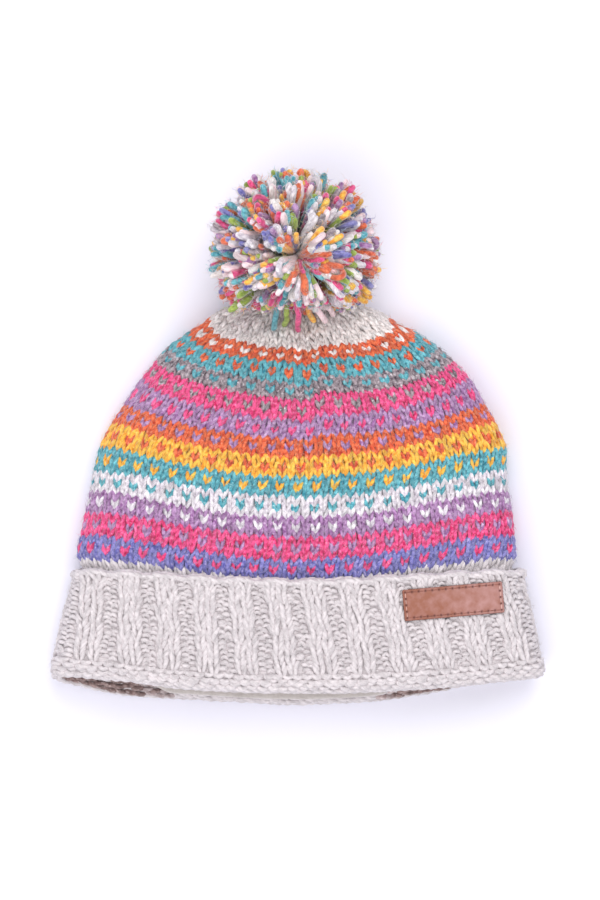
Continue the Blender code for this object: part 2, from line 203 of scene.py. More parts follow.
def mouth_sag(points, along):
    """The mouth gapes at the left, where its back edge hangs lower, and is tucked in at the right."""
    fading = np.clip(1 - along / SAG_END, 0, 1)
    left = np.exp(-(((points[:, 0] - SAG_X) / SAG_REACH) ** 2)) * fading
    right = np.exp(-(((points[:, 0] - TUCK_X) / TUCK_REACH) ** 2)) * fading
    side = np.tanh((points[:, 2] - section("crease", along) * CREASE) / SAG_TURN)
    gape = left * side * np.where(side > 0, HEM_LIFT, HEM_DROP)
    return (gape + right * np.clip(-side, 0, 1) * HEM_TUCK) / HAT_LENGTH


def ring_row(ring, stand, columns, set_back=None):
    """Points of one of the cuff's rings, in even steps from the back's middle."""
    turns = np.linspace(-math.pi / 2, 3 * math.pi / 2, TURN_SAMPLES + 1)
    points = body_point(turns, ring_along(ring, turns))
    lengths = np.concatenate([[0], np.cumsum(np.linalg.norm(np.diff(points, axis=0), axis=1))])
    at = np.interp(np.arange(columns) / columns, lengths / lengths[-1], turns)
    along = ring_along(ring, at)
    points = body_point(at, along)
    deeper = 0 if set_back is None else set_back(points) / HAT_LENGTH
    return body_point(at, along + mouth_sag(points, along) + deeper, stand)


def on_cloth(cloth, u, v, stand):
    """Points at (u, v), stand off the cloth, and the normals there. v counts rows of stitches."""
    points, normals = cloth
    column = (np.asarray(u) % 1) * GRID_COLUMNS
    left = np.floor(column).astype(int) % GRID_COLUMNS
    right = (left + 1) % GRID_COLUMNS
    fu = (column - np.floor(column))[..., None]
    level = np.clip(np.asarray(v) * LEVELS_PER_ROW, 0, len(points) - 1.001)
    low = np.floor(level).astype(int)
    fv = (level - low)[..., None]

    def read(grid):
        lower = grid[low, left] * (1 - fu) + grid[low, right] * fu
        upper = grid[low + 1, left] * (1 - fu) + grid[low + 1, right] * fu
        return lower * (1 - fv) + upper * fv

    normal = read(normals)
    normal /= np.maximum(np.linalg.norm(normal, axis=-1, keepdims=True), 1e-12)
    return read(points) + normal * np.asarray(stand)[..., None], normal


PRESS_SOFTNESS = 0.7 * MM


def above_table(points):
    """Yarn that the hat's weight presses on the table is flattened on it, and doesn't sink in."""
    z = points[..., 2]
    points[..., 2] = 0.5 * (z + np.sqrt(z * z + PRESS_SOFTNESS**2))
    return points


# %% [markdown]
# ## Yarn as geometry
# A leg of a stitch, a purl bump and a strand of the pom-pom are all the same thing: a short tube that
# bulges in its middle and is round at its ends. One helper makes thousands of them from arrays as one
# mesh. Curves with a bevel would do it too, but one object per stitch would be slow to handle.
# Each tube carries its length and turn as UVs, for the ply, and a random tone for uneven dye.

# %% Tubes from arrays
def build_mesh(name, points, face_corners, face_sizes, uvs=None, tone=None, face_slots=None):
    """A smooth mesh from arrays, with optional UVs, a tone for each point and face materials."""
    mesh = bpy.data.meshes.new(name)
    mesh.vertices.add(len(points))
    mesh.vertices.foreach_set("co", np.asarray(points, np.float32).ravel())
    mesh.loops.add(len(face_corners))
    mesh.loops.foreach_set("vertex_index", np.asarray(face_corners, np.int32))
    starts = np.concatenate([[0], np.cumsum(face_sizes)[:-1]])
    mesh.polygons.add(len(face_sizes))
    mesh.polygons.foreach_set("loop_start", np.asarray(starts, np.int32))
    if face_slots is not None:
        mesh.polygons.foreach_set("material_index", np.asarray(face_slots, np.int32))
    if uvs is not None:
        layer = mesh.uv_layers.new(name="along")
        layer.uv.foreach_set("vector", np.asarray(uvs, np.float32).ravel())
    if tone is not None:
        made = mesh.attributes.new("tone", "FLOAT", "POINT")
        made.data.foreach_set("value", np.asarray(tone, np.float32))
    mesh.update(calc_edges=True)
    mesh.validate()
    mesh.shade_smooth()
    return mesh


BLUNT = 0.5  # how far a tube's end stands out, of its radius


def tube_arrays(paths, radii, ups, sides):
    """Vertices, corners, sizes and UVs of closed tubes along paths, and what one tube counts."""
    count, steps, _ = paths.shape
    tangents = np.gradient(paths, axis=1)
    tangents /= np.maximum(np.linalg.norm(tangents, axis=2, keepdims=True), 1e-12)
    across = np.cross(tangents, ups)
    across /= np.maximum(np.linalg.norm(across, axis=2, keepdims=True), 1e-12)
    over = np.cross(across, tangents)
    angles = 2 * math.pi * np.arange(sides) / sides
    ring = (
        across[:, :, None, :] * np.cos(angles)[None, None, :, None]
        + over[:, :, None, :] * np.sin(angles)[None, None, :, None]
    )
    skin = paths[:, :, None, :] + ring * radii[:, :, None, None]
    ends = np.stack([
        paths[:, 0] - tangents[:, 0] * radii[:, :1] * BLUNT,
        paths[:, -1] + tangents[:, -1] * radii[:, -1:] * BLUNT,
    ], axis=1)
    points = np.concatenate([skin.reshape(count, steps * sides, 3), ends], axis=1)
    corners, sizes, along, turn = [], [], [], []
    for i in range(steps - 1):
        for j in range(sides):
            k = (j + 1) % sides
            corners += [i * sides + j, i * sides + k, (i + 1) * sides + k, (i + 1) * sides + j]
            sizes.append(4)
            along += [i, i, i + 1, i + 1]
            turn += [j, j + 1, j + 1, j]
    first, last = steps * sides, steps * sides + 1
    for j in range(sides):
        k = (j + 1) % sides
        corners += [j, first, k]
        along += [0, 0, 0]
        turn += [j, j + 0.5, j + 1]
        top = (steps - 1) * sides
        corners += [top + k, last, top + j]
        along += [steps - 1] * 3
        turn += [j + 1, j + 0.5, j]
        sizes += [3, 3]
    lengths = np.linalg.norm(np.diff(paths, axis=1), axis=2)
    reach = np.concatenate([np.zeros((count, 1)), np.cumsum(lengths, axis=1)], axis=1) / MM
    per_tube = steps * sides + 2
    all_corners = (np.array(corners)[None] + per_tube * np.arange(count)[:, None]).ravel()
    turns = np.broadcast_to(np.array(turn) / sides, (count, len(turn)))
    uvs = np.stack([reach[:, along], turns], axis=2).reshape(-1, 2)
    return points.reshape(-1, 3), all_corners, np.tile(sizes, count), uvs, per_tube, len(sizes)


def yarn_mesh(name, paths, radii, ups, sides, slots=None, settle=above_table):
    """One mesh with a tube for each path. slots gives the material of each tube or each face."""
    points, corners, sizes, uvs, per_tube, faces = tube_arrays(paths, radii, ups, sides)
    tones = np.repeat(chance.random(len(paths)), per_tube)
    if slots is not None and len(slots) == len(paths):
        slots = np.repeat(slots, faces)
    return build_mesh(name, settle(points), corners, sizes, uvs, tones, slots)


triangles_made = {}


def add_piece(name, mesh, materials, replaced=()):
    """Puts a mesh in the scene as a named piece that rides with the hat."""
    for made in materials:
        mesh.materials.append(made)
    piece = bpy.data.objects.new(name, mesh)
    bpy.context.scene.collection.objects.link(piece)
    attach(piece, "root")
    if replaced:
        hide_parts(*replaced)
    triangles_made[name] = sum(p.loop_total - 2 for p in mesh.polygons)
    print(f"{name}: {triangles_made[name]} triangles")


# %% [markdown]
# ## Wool
# Hand-knitting wool is two plies twisted together: grooves wind round each strand, loose fibres
# lie along it, and the dye is uneven. The grooves and fibres are a shared group that gives a height
# and a shade from the yarn's own UVs, so that they follow every stitch. The shade paints shade into
# the grooves, on each yarn's underside and near the roots of the pom-pom's strands.

# %% Small helpers for nodes
def new_material(name, roughness, sheen=0.0, sheen_tint=(1, 1, 1)):
    made = bpy.data.materials.new(name)
    made.use_nodes = True
    shader = made.node_tree.nodes["Principled BSDF"]
    shader.inputs["Roughness"].default_value = roughness
    shader.inputs["Specular IOR Level"].default_value = 0.2
    shader.inputs["Sheen Weight"].default_value = sheen
    shader.inputs["Sheen Roughness"].default_value = 0.5
    shader.inputs["Sheen Tint"].default_value = (*sheen_tint, 1)
    return made, made.node_tree, shader


def add_node(tree, kind, **values):
    """A node of a kind, with its settings."""
    node = tree.nodes.new(kind)
    for key, value in values.items():
        setattr(node, key, value)
    return node


def plug(tree, value, socket):
    """Sets a socket to a number or a colour, or links another node's output to it."""
    if isinstance(value, bpy.types.NodeSocket):
        tree.links.new(value, socket)
    else:
        socket.default_value = value


def maths(tree, operation, *values, clamp=False):
    """A Math node. Each value is a number or another node's output."""
    node = add_node(tree, "ShaderNodeMath", operation=operation, use_clamp=clamp)
    for socket, value in zip(node.inputs, values):
        plug(tree, value, socket)
    return node.outputs[0]


def mixed(tree, factor, first, second):
    """A colour between two others."""
    node = add_node(tree, "ShaderNodeMix", data_type="RGBA")
    for name, value in (("Factor", factor), ("A", first), ("B", second)):
        plug(tree, value, node.inputs[name])
    return node.outputs["Result"]


def noise(tree, vector, scale, detail):
    """Soft noise over a vector, as a value of about a half."""
    node = add_node(tree, "ShaderNodeTexNoise", noise_dimensions="3D")
    node.inputs["Scale"].default_value = scale
    node.inputs["Detail"].default_value = detail
    tree.links.new(vector, node.inputs["Vector"])
    return node.outputs["Fac"]


def bumped(tree, shader, height, strength, distance):
    """Gives a shader the relief of a height."""
    node = add_node(tree, "ShaderNodeBump")
    node.inputs["Strength"].default_value = strength
    node.inputs["Distance"].default_value = distance
    tree.links.new(height, node.inputs["Height"])
    tree.links.new(node.outputs[0], shader.inputs["Normal"])


def new_group(name, inputs, outputs):
    """An empty node group. inputs and outputs are (name, kind, default) and (name, kind)."""
    tree = bpy.data.node_groups.new(name, "ShaderNodeTree")
    for socket_name, kind, default in inputs:
        socket = tree.interface.new_socket(socket_name, in_out="INPUT", socket_type=kind)
        socket.default_value = default
    for socket_name, kind in outputs:
        tree.interface.new_socket(socket_name, in_out="OUTPUT", socket_type=kind)
    return tree, tree.nodes.new("NodeGroupInput"), tree.nodes.new("NodeGroupOutput")


def place_group(tree, group, **values):
    """A group's node, with its inputs set by their names."""
    node = tree.nodes.new("ShaderNodeGroup")
    node.node_tree = group
    for key, value in values.items():
        node.inputs[key.replace("_", " ").capitalize()].default_value = value
    return node


# %% The yarn group
FLOAT, COLOUR, VECTOR = "NodeSocketFloat", "NodeSocketColor", "NodeSocketVector"
PLIES = 2
PLY_ROUNDNESS = 0.7
FIBRE_STRETCH = (0.12, 6.0, 37.0)  # of the fibres' noise: along the yarn, round it, yarn to yarn
ROOT_REACH = 25.0  # mm from a strand's root to where it is lit as well as its tip


def make_yarn_group():
    """Height of the twisted plies and their fibres, and a shade: painted shade in the grooves, on each
    yarn's underside and near a strand's root.
    """
    tree, given, out = new_group(
        "twisted yarn",
        [
            # Groove, Under and Root set painted shade: in the ply grooves, on a yarn's underside and near a
            # strand's root.
            ("Twist", FLOAT, 9.0), ("Fibre", FLOAT, 0.8), ("Groove", FLOAT, 0.2),
            ("Under", FLOAT, 0.0), ("Root", FLOAT, 0.0), ("Streak", FLOAT, 1.2), ("Stitch", FLOAT, 0.34),
        ],
        [("Height", FLOAT), ("Shade", FLOAT)],
    )
    link = tree.links.new
    uv = add_node(tree, "ShaderNodeUVMap", uv_map="along")
    parts = add_node(tree, "ShaderNodeSeparateXYZ")
    link(uv.outputs[0], parts.inputs[0])
    reach, turn = parts.outputs[0], parts.outputs[1]
    tone = add_node(tree, "ShaderNodeAttribute", attribute_name="tone").outputs["Fac"]
    winds = maths(tree, "DIVIDE", reach, given.outputs["Twist"])
    start = maths(tree, "ADD", maths(tree, "ADD", winds, turn), tone)
    wave = maths(tree, "COSINE", maths(tree, "MULTIPLY", start, 2 * math.pi * PLIES))
    rounded = maths(tree, "POWER", maths(tree, "MULTIPLY_ADD", wave, 0.5, 0.5), PLY_ROUNDNESS)
    stretched = add_node(tree, "ShaderNodeCombineXYZ")
    for value, stretch, socket in zip((reach, start, tone), FIBRE_STRETCH, stretched.inputs):
        link(maths(tree, "MULTIPLY", value, stretch), socket)
    fibres = noise(tree, stretched.outputs[0], 3.0, 3.0)
    fine = maths(tree, "MULTIPLY", fibres, given.outputs["Fibre"])
    link(maths(tree, "ADD", rounded, fine), out.inputs["Height"])
    # Painted shade: the grooves between the plies are darkened.
    groove = maths(tree, "SUBTRACT", 1.0, rounded)
    dark = maths(tree, "MULTIPLY", groove, given.outputs["Groove"])
    about_fibre = maths(tree, "SUBTRACT", fibres, 0.5)
    about_stitch = maths(tree, "SUBTRACT", tone, 0.5)
    streak = maths(tree, "MULTIPLY", about_fibre, given.outputs["Streak"])
    stitch = maths(tree, "MULTIPLY_ADD", about_stitch, given.outputs["Stitch"], 1.09)
    lit = maths(tree, "SUBTRACT", maths(tree, "ADD", stitch, streak), dark)
    # Painted shade: the side of each yarn that faces away from the cloth is darkened.
    facing = maths(tree, "SINE", maths(tree, "MULTIPLY", turn, 2 * math.pi))
    underside_shade = maths(tree, "MULTIPLY_ADD", facing, -0.5, 0.5)
    under = maths(tree, "SUBTRACT", 1.0, maths(tree, "MULTIPLY", underside_shade, given.outputs["Under"]))
    # Painted shade: a strand darkens towards its root, deep inside the pom-pom.
    from_root = maths(tree, "DIVIDE", reach, ROOT_REACH)
    near_root = maths(tree, "SUBTRACT", 1.0, from_root, clamp=True)
    root_shade = maths(tree, "SUBTRACT", 1.0, maths(tree, "MULTIPLY", near_root, given.outputs["Root"]))
    link(maths(tree, "MULTIPLY", lit, maths(tree, "MULTIPLY", under, root_shade)), out.inputs["Shade"])
    return tree


yarn_group = make_yarn_group()


# %% The dye group
def make_dye_group():
    """A wool's colour: a main and a second dye, mixed stitch by stitch and fibre by fibre."""
    tree, given, out = new_group(
        "uneven dye",
        [
            ("Main", COLOUR, (0.5, 0.5, 0.5, 1)), ("Second", COLOUR, (0.4, 0.4, 0.4, 1)),
            ("Shade", FLOAT, 1.0), ("Uneven", FLOAT, 0.5), ("Fleck", FLOAT, 0.0),
            ("Fleck colour", COLOUR, (0.2, 0.15, 0.1, 1)),
        ],
        [("Colour", COLOUR)],
    )
    link = tree.links.new
    tone = add_node(tree, "ShaderNodeAttribute", attribute_name="tone").outputs["Fac"]
    place = add_node(tree, "ShaderNodeTexCoord").outputs["Object"]
    wide = maths(tree, "MULTIPLY_ADD", tone, 0.5, -0.25)
    crisp = maths(tree, "MULTIPLY_ADD", noise(tree, place, 480.0, 3.0), 3.6, -1.3)
    blend = maths(tree, "ADD", wide, crisp)
    amount = maths(tree, "MULTIPLY", blend, given.outputs["Uneven"], clamp=True)
    dyed = mixed(tree, amount, given.outputs["Main"], given.outputs["Second"])
    sparse = maths(tree, "MULTIPLY_ADD", noise(tree, place, 700.0, 2.0), 9.0, -5.2, clamp=True)
    specks = maths(tree, "MULTIPLY", sparse, given.outputs["Fleck"])
    flecked = mixed(tree, specks, dyed, given.outputs["Fleck colour"])
    shaded = add_node(tree, "ShaderNodeVectorMath", operation="SCALE")
    link(flecked, shaded.inputs[0])
    link(given.outputs["Shade"], shaded.inputs["Scale"])
    link(shaded.outputs[0], out.inputs["Colour"])
    return tree


dye_group = make_dye_group()


def from_screen(red, green, blue):
    """A colour as seen on a screen, 0 to 255, as the linear values that a shader wants."""
    share = np.array([red, green, blue]) / 255
    linear = np.where(share <= 0.04045, share / 12.92, ((share + 0.055) / 1.055) ** 2.4)
    return tuple(float(v) for v in linear)


# %% Wool materials
PLY_HEIGHT = 0.5 * MM


def wool(
    name, main, second, twist=17.0, uneven=0.8, fleck=0.0, fleck_colour=(90, 70, 60), relief=0.6,
    under=0.42, root=0.0, sheen=0.3, streak=1.2, stitch=0.34,
):
    """A yarn of two dyes, with its ply, fibres and a soft fuzz at grazing angles."""
    made, tree, shader = new_material(name, 0.92, sheen)
    # under sets the painted shade on each yarn's underside, and root sets the painted shade near a strand's
    # root.
    yarn = place_group(
        tree, yarn_group, twist=twist, under=under, root=root, streak=streak, stitch=stitch
    )
    dye = place_group(
        tree, dye_group, main=(*from_screen(*main), 1), second=(*from_screen(*second), 1),
        uneven=uneven, fleck=fleck, fleck_colour=(*from_screen(*fleck_colour), 1),
    )
    tree.links.new(yarn.outputs["Shade"], dye.inputs["Shade"])
    tree.links.new(dye.outputs["Colour"], shader.inputs["Base Color"])
    bumped(tree, shader, yarn.outputs["Height"], relief, PLY_HEIGHT)
    return made


DYES = {
    "cream": ((222, 214, 216), (206, 199, 201), 0.28, (168, 158, 160)),
    "oatmeal": ((246, 240, 238), (216, 206, 203), 0.5, (140, 126, 120)),
    "periwinkle": ((148, 144, 204), (84, 84, 152), 0.5, (206, 190, 226)),
    "pink": ((248, 102, 158), (186, 32, 84), 0.45, (255, 172, 206)),
    "lilac": ((192, 154, 196), (128, 80, 132), 0.45, (232, 208, 230)),
    "ivory": ((242, 236, 240), (188, 178, 190), 0.0, (90, 70, 60)),
    "teal": ((118, 192, 202), (48, 124, 142), 0.40, (172, 216, 218)),
    "yellow": ((250, 204, 92), (226, 140, 42), 0.30, (252, 222, 140)),
    "orange": ((240, 124, 82), (184, 62, 42), 0.45, (252, 176, 138)),
    "grey": ((180, 166, 172), (84, 72, 82), 0.8, (220, 212, 216)),
    "moss": ((166, 186, 88), (124, 146, 60), 0.0, (90, 70, 60)),
    "blush": ((248, 228, 230), (234, 204, 210), 0.0, (90, 70, 60)),
    # taupe and mushroom are darker wools used as painted shade inside the mouth's corners.
    "shaded taupe": ((166, 142, 138), (108, 86, 84), 0.6, (214, 200, 198)),
    "shaded mushroom": ((204, 188, 188), (158, 136, 134), 0.5, (222, 212, 212)),
}
WOOLS = {
    name: wool(f"{name} wool", main, second, fleck=fleck, fleck_colour=fleck_colour)
    for name, (main, second, fleck, fleck_colour) in DYES.items()
}
main, second, fleck, fleck_colour = DYES["cream"]
WOOLS["cuff"] = wool(
    "cuff wool", main, second, fleck=fleck, fleck_colour=fleck_colour,
    relief=0.25, under=0.08, streak=0.6, stitch=0.10,
)
print("wools:", ", ".join(WOOLS))

# %% [markdown]
# ## The striped crown
# Stockinette shows columns of little Vs. Each V is two legs of one loop: they come out of the stitch
# below, bulge, and lean apart until the next row hides their ends. Every stripe has three rows, and in
# its middle row every other V is in the stripe above's colour. Towards the tip the knitter works two
# stitches together at ten places, so the rows lose stitches and the columns lean in.

# %% Rows of the crown
CROWN_RINGS = (
    (0.2700, 0.2300, 0.2300, 2.00, 4),
    (0.3464, 0.2943, 0.2943, 2.00, 3),
    (0.4043, 0.3427, 0.3427, 1.90, 3),
    (0.4635, 0.3981, 0.3981, 1.80, 3),
    (0.5152, 0.4460, 0.4460, 1.65, 3),
    (0.5654, 0.4976, 0.4976, 1.50, 3),
    (0.6246, 0.5469, 0.5469, 1.35, 3),
    (0.6853, 0.5962, 0.5962, 1.20, 3),
    (0.7318, 0.6431, 0.6431, 1.05, 3),
    (0.7986, 0.6924, 0.6924, 0.90, 3),
    (0.8441, 0.7469, 0.7469, 0.88, 3),
    (0.8787, 0.7863, 0.7863, 0.86, 3),
    (0.9156, 0.8341, 0.8341, 0.85, 3),
    (0.9502, 0.8673, 0.8673, 0.85, 8),
    (0.9990, 0.9960, 0.9960, 0.90, 0),
)
BANDS = (
    "cream", "periwinkle", "pink", "lilac", "ivory", "teal", "yellow",
    "orange", "lilac", "pink", "grey", "teal", "orange", "oatmeal",
)
STITCH_WIDTH = 4.85 * MM
SECTORS = 10
FULL_ROUND = 100

ring_table = np.array([row[:4] for row in CROWN_RINGS])
rows_in_band = [row[4] for row in CROWN_RINGS]
row_starts = np.concatenate([[0], np.cumsum(rows_in_band[:-1])])
ROW_COUNT = int(row_starts[-1])
JOG_X, JOG_ALONG = 9.2 * MM, 0.755
JOG_WIDTH, JOG_REACH, JOG_SPREAD, JOG_STEP = 3.0 * MM, 17 * MM, 0.13, 3.6 * MM


def jog(points, along):
    """In its middle the rows step up to the right, where one round of the knitting meets the next."""
    off = points[:, 0] - JOG_X
    shape = np.tanh(off / JOG_WIDTH) * np.exp(-np.abs(off) / JOG_REACH)
    front = points[:, 2] > CREASE
    return front * shape * np.exp(-(((along - JOG_ALONG) / JOG_SPREAD) ** 2)) * JOG_STEP / HAT_LENGTH


crown_levels = np.linspace(0, ROW_COUNT, LEVELS_PER_ROW * ROW_COUNT + 1)
crown_rings = np.stack([smooth_curve(row_starts, column, crown_levels) for column in ring_table.T], 1)
crown_grid = cloth_grid(crown_rings, drift=jog)
print("rows in the crown:", ROW_COUNT)


def girth(row):
    """The way round the crown at the middle of a row."""
    points = crown_grid[0][LEVELS_PER_ROW * row + 1]
    return np.linalg.norm(np.roll(points, -1, axis=0) - points, axis=1).sum()


def stitches_in(row):
    """The stitches round a row: as many as fit, in steps of the ten sectors."""
    fitting = girth(row) / STITCH_WIDTH / SECTORS
    return int(min(FULL_ROUND, SECTORS * max(1, round(fitting))))


stitch_counts = [stitches_in(row) for row in range(ROW_COUNT)]
for row in range(1, ROW_COUNT):
    stitch_counts[row] = min(stitch_counts[row], stitch_counts[row - 1])
print("stitches round:", stitch_counts[0], "to", stitch_counts[-1], "and in all", sum(stitch_counts))

# %% Gathers and hand-made unevenness
GATHER_DEPTH, GATHER_START = 1.2 * MM, 0.86
YARN_SINK = 1.3 * MM  # the middles of the yarns lie this far inside the solid's face
row_middles = (crown_rings[:, 0] + crown_rings[:, 1]) / 2
SWELL = 0.5 * MM
WAVES = tuple(zip((2, 3, 5, 7, 11, 13), (0.9, 0.6, 1.3, 0.8, 1.9, 1.1), chance.uniform(0, 6.28, 6)))


def soft_waves(u, v):
    """Slow waves over the knitting, from about -1 to 1."""
    total = sum(np.sin(2 * math.pi * a * u + 0.16 * b * v + c) for a, b, c in WAVES)
    return total / 3


def crown_stand(u, v):
    """How far the crown's surface swells or sinks: pleats at the tip and slow waves elsewhere."""
    middle = np.interp(v, crown_levels, row_middles)
    fade = np.clip((middle - GATHER_START) / (1 - GATHER_START), 0, 1)
    pleats = np.sin(2 * math.pi * SECTORS * u) * GATHER_DEPTH * np.sin(math.pi * fade)
    return pleats + soft_waves(u, v) * SWELL - YARN_SINK


# %% The legs of a V
LEG_SIDES = 5
PURL_SIDES = 6
# Each row: across, of a stitch's width from its middle; up, of a row's height; out and radius, in mm.
CROWN_LEG = np.array((
    (0.03, 0.12, 0.245, 0.37, 0.45),
    (-0.60, -0.08, 0.55, 1.15, 1.60),
    (-1.35, 0.10, 0.60, 0.20, -1.15),
    (0.55, 1.18, 1.30, 1.18, 0.55),
))
RIB_LEG = np.array((
    (0.08, 0.16, 0.26, 0.35, 0.41),
    (-0.60, -0.02, 0.70, 1.38, 1.85),
    (-1.10, 0.22, 0.62, 0.22, -1.10),
    (0.76, 1.30, 1.42, 1.30, 0.76),
))


def knit_legs(grid, u, v, width, stand_of, leg=CROWN_LEG, plump=1.0):
    """Paths, radii and normals of both legs of the Vs at (u, v). width is a stitch's share of the round."""
    leg_across, leg_up, leg_out, leg_radius = leg[0], leg[1], leg[2] * MM, leg[3] * MM
    count = len(u)
    lean = chance.normal(0, 0.06, count)
    lift = chance.normal(0, 0.09, count)
    size = 1 + chance.normal(0, 0.09, count)
    paths, normals = [], []
    for side in (-1, 1):
        wobble = 1 + chance.normal(0, 0.08, (count, 1))
        across = (side * leg_across * wobble + lean[:, None] * leg_up) * np.reshape(width, (-1, 1))
        at_u = u[:, None] + across
        at_v = v[:, None] + (leg_up + lift[:, None])
        points, normal = on_cloth(grid, at_u, at_v, leg_out * plump + stand_of(at_u, at_v))
        paths.append(points)
        normals.append(normal)
    radii = leg_radius * size[:, None] * plump
    return np.concatenate(paths), np.concatenate([radii, radii]), np.concatenate(normals)


# %% Knit the stripes
FIRST_ROW = 2


def knit_band(number):
    """One stripe: its rows of Vs, with the next stripe's colour in every other V of its middle row."""
    main, accent = BANDS[number], BANDS[min(number + 1, len(BANDS) - 1)]
    first, last = int(row_starts[number]), int(row_starts[number + 1])
    paths, radii, normals, slots = [], [], [], []
    for row in range(max(first, FIRST_ROW), last):
        stitches = stitch_counts[row]
        numbers = np.arange(stitches)
        u = (numbers + 0.5) / stitches
        v = row + 0.05 * np.sin(2 * math.pi * 3 * u + row)
        plump = float(np.clip(girth(row) / stitches / STITCH_WIDTH, 0.55, 1.08))
        parts = knit_legs(crown_grid, u, v, 1 / stitches, crown_stand, plump=plump)
        for store, part in zip((paths, radii, normals), parts):
            store.append(part)
        accented = (row == first + 1) & (number > 0) & (number < len(BANDS) - 1)
        picked = ((numbers % 2 == 0) & accented).astype(int)
        slots.append(np.concatenate([picked, picked]))
    mesh = yarn_mesh(
        f"crown stripe {number + 1}", np.concatenate(paths), np.concatenate(radii),
        np.concatenate(normals), LEG_SIDES, np.concatenate(slots),
    )
    name = f"crown_stripe_{number + 1:02d}_{main}"
    add_piece(name, mesh, [WOOLS[main], WOOLS[accent]])


for number in range(len(BANDS)):
    knit_band(number)

# %% [markdown]
# ## The wall behind the stitches
# Between the legs one sees the loops behind them, and through the opening the hat's inside. A smooth
# shell in the same colours gives both: its outer face lies just behind the Vs, and its inner face is
# the hat's inside.

# %% The crown's backing shell
SHELL_COLUMNS = 108
BACKING_DEPTH = 0.4 * MM


def cloth_rows(grid, rows_v, stand, stand_of, columns):
    """Rows of points right round a cloth, one for each of rows_v, stand off its own stand_of."""
    u = np.arange(columns) / columns
    levels = [np.full(columns, float(v)) for v in rows_v]
    return [on_cloth(grid, u, v, stand + stand_of(u, v))[0] for v in levels]


def wound(rows, closed=False):
    """Corners of the quads between rows of points. closed joins the last row to the first."""
    columns, levels = len(rows[0]), len(rows)
    j = np.arange(columns)
    k = (j + 1) % columns
    quads = []
    for level in range(levels if closed else levels - 1):
        low, high = level * columns, (level + 1) % levels * columns
        quads.append(np.stack([low + j, low + k, high + k, high + j], 1))
    return np.concatenate(quads)


def wall_mesh(name, rows, level_slots):
    """A closed wall through rows of points, with a material slot for each level between them."""
    points = above_table(np.concatenate(rows))
    quads = wound(rows, closed=True)
    uvs = np.tile([[0, 0], [1, 0], [1, 1], [0, 1]], (len(quads), 1))
    slots = np.repeat(level_slots, len(rows[0]))
    tone = np.full(len(points), 0.5)
    return build_mesh(name, points, quads.ravel(), np.full(len(quads), 4), uvs, tone, slots)


crown_rows_out = np.arange(0, ROW_COUNT + 0.01, 0.5)
crown_rows_in = np.arange(ROW_COUNT - 1, -0.01, -1.0)
outer_shell = cloth_rows(crown_grid, crown_rows_out, -BACKING_DEPTH, crown_stand, SHELL_COLUMNS)
inner_depth = YARN_SINK - CROWN_WALL
inner_shell = cloth_rows(crown_grid, crown_rows_in, inner_depth, crown_stand, SHELL_COLUMNS)
band_of_row = np.searchsorted(row_starts, np.arange(ROW_COUNT) + 0.5) - 1
names_of_shell = list(dict.fromkeys(BANDS))
levels_in = [ROW_COUNT - 0.5, *(crown_rows_in[:-1] - 0.5), 0]
level_rows = np.concatenate([crown_rows_out[:-1] + 0.25, levels_in])
level_bands = band_of_row[np.clip(np.floor(level_rows).astype(int), 0, ROW_COUNT - 1)]
level_slots = np.array([names_of_shell.index(BANDS[b]) for b in level_bands])
crown_wall = wall_mesh("crown backing", [*outer_shell, *inner_shell], level_slots)
add_piece("crown_backing", crown_wall, [WOOLS[n] for n in names_of_shell], ["crown"])

# %% [markdown]
# ## The ribbed cuff
# The cuff is one length of fabric: up inside, folded at the hem and turned up outside. Two knit columns
# stand proud and a purl furrow sinks between them, twenty-five times round. The knit columns are the
# crown's Vs again, drawn long and upright, and each furrow holds two staggered columns of small bumps.

# %% The cuff's grid
HEM_RING = np.array((0.052, 0.016, -0.014, 1.1))
EDGE_RING = np.array((0.310, 0.289, 0.289, 2.5))
RIB_COUNT, RIB_COLUMNS = 25, 4
RIB_LEAN = 7.5 * MM
EDGE_ROLL, RIB_RELIEF, CUFF_SWELL = 1.2 * MM, 1.0 * MM, 0.35 * MM
FOLD_RADIUS = (CUFF_STAND + CUFF_WALL) / 2
FOLD_MIDDLE = (CUFF_STAND - CUFF_WALL) / 2
TURNED_RING = shifted(HEM_RING, FOLD_RADIUS)
CUFF_ROWS = 20
HEM_ROWS = 2
CUFF_LEVELS = LEVELS_PER_ROW * CUFF_ROWS + 1


def cuff_lean(shares, lengths, points, number):
    """The ribs lean to the right on their way down the front: the cuff was turned up a little askew."""
    front = np.clip(np.interp(shares, lengths, points[:, 2]) / (0.75 * LOFT), 0, 1)
    down = 1 - number / (CUFF_LEVELS - 1)
    return front**1.5 * RIB_LEAN / (4 * HALF_WIDTH) * down


cuff_grid = cloth_grid(
    [between(TURNED_RING, EDGE_RING, share) for share in np.linspace(0, 1, CUFF_LEVELS)],
    cuff_lean, mouth_sag,
)


def rib_height(u):
    """1 along the middle of a rib and 0 along a furrow."""
    phase = (np.asarray(u) * RIB_COUNT - 0.5 / RIB_COLUMNS) % 1
    wave = np.clip(0.60 + 0.60 * np.cos(2 * math.pi * phase), 0, 1)
    return wave * wave * (3 - 2 * wave)


def cuff_stand(u, v):
    """The flap's face: ribs above the hem, level across the hem, and a roll at the free edge."""
    above_hem = np.clip((np.asarray(v) - HEM_ROWS) / 1.5, 0, 1)
    roll = EDGE_ROLL * np.clip((np.asarray(v) - CUFF_ROWS + 1.2) / 1.2, 0, 1)
    ribbed = CUFF_STAND - RIB_RELIEF * above_hem * (1 - rib_height(u))
    return ribbed + roll + soft_waves(u, v) * CUFF_SWELL - YARN_SINK


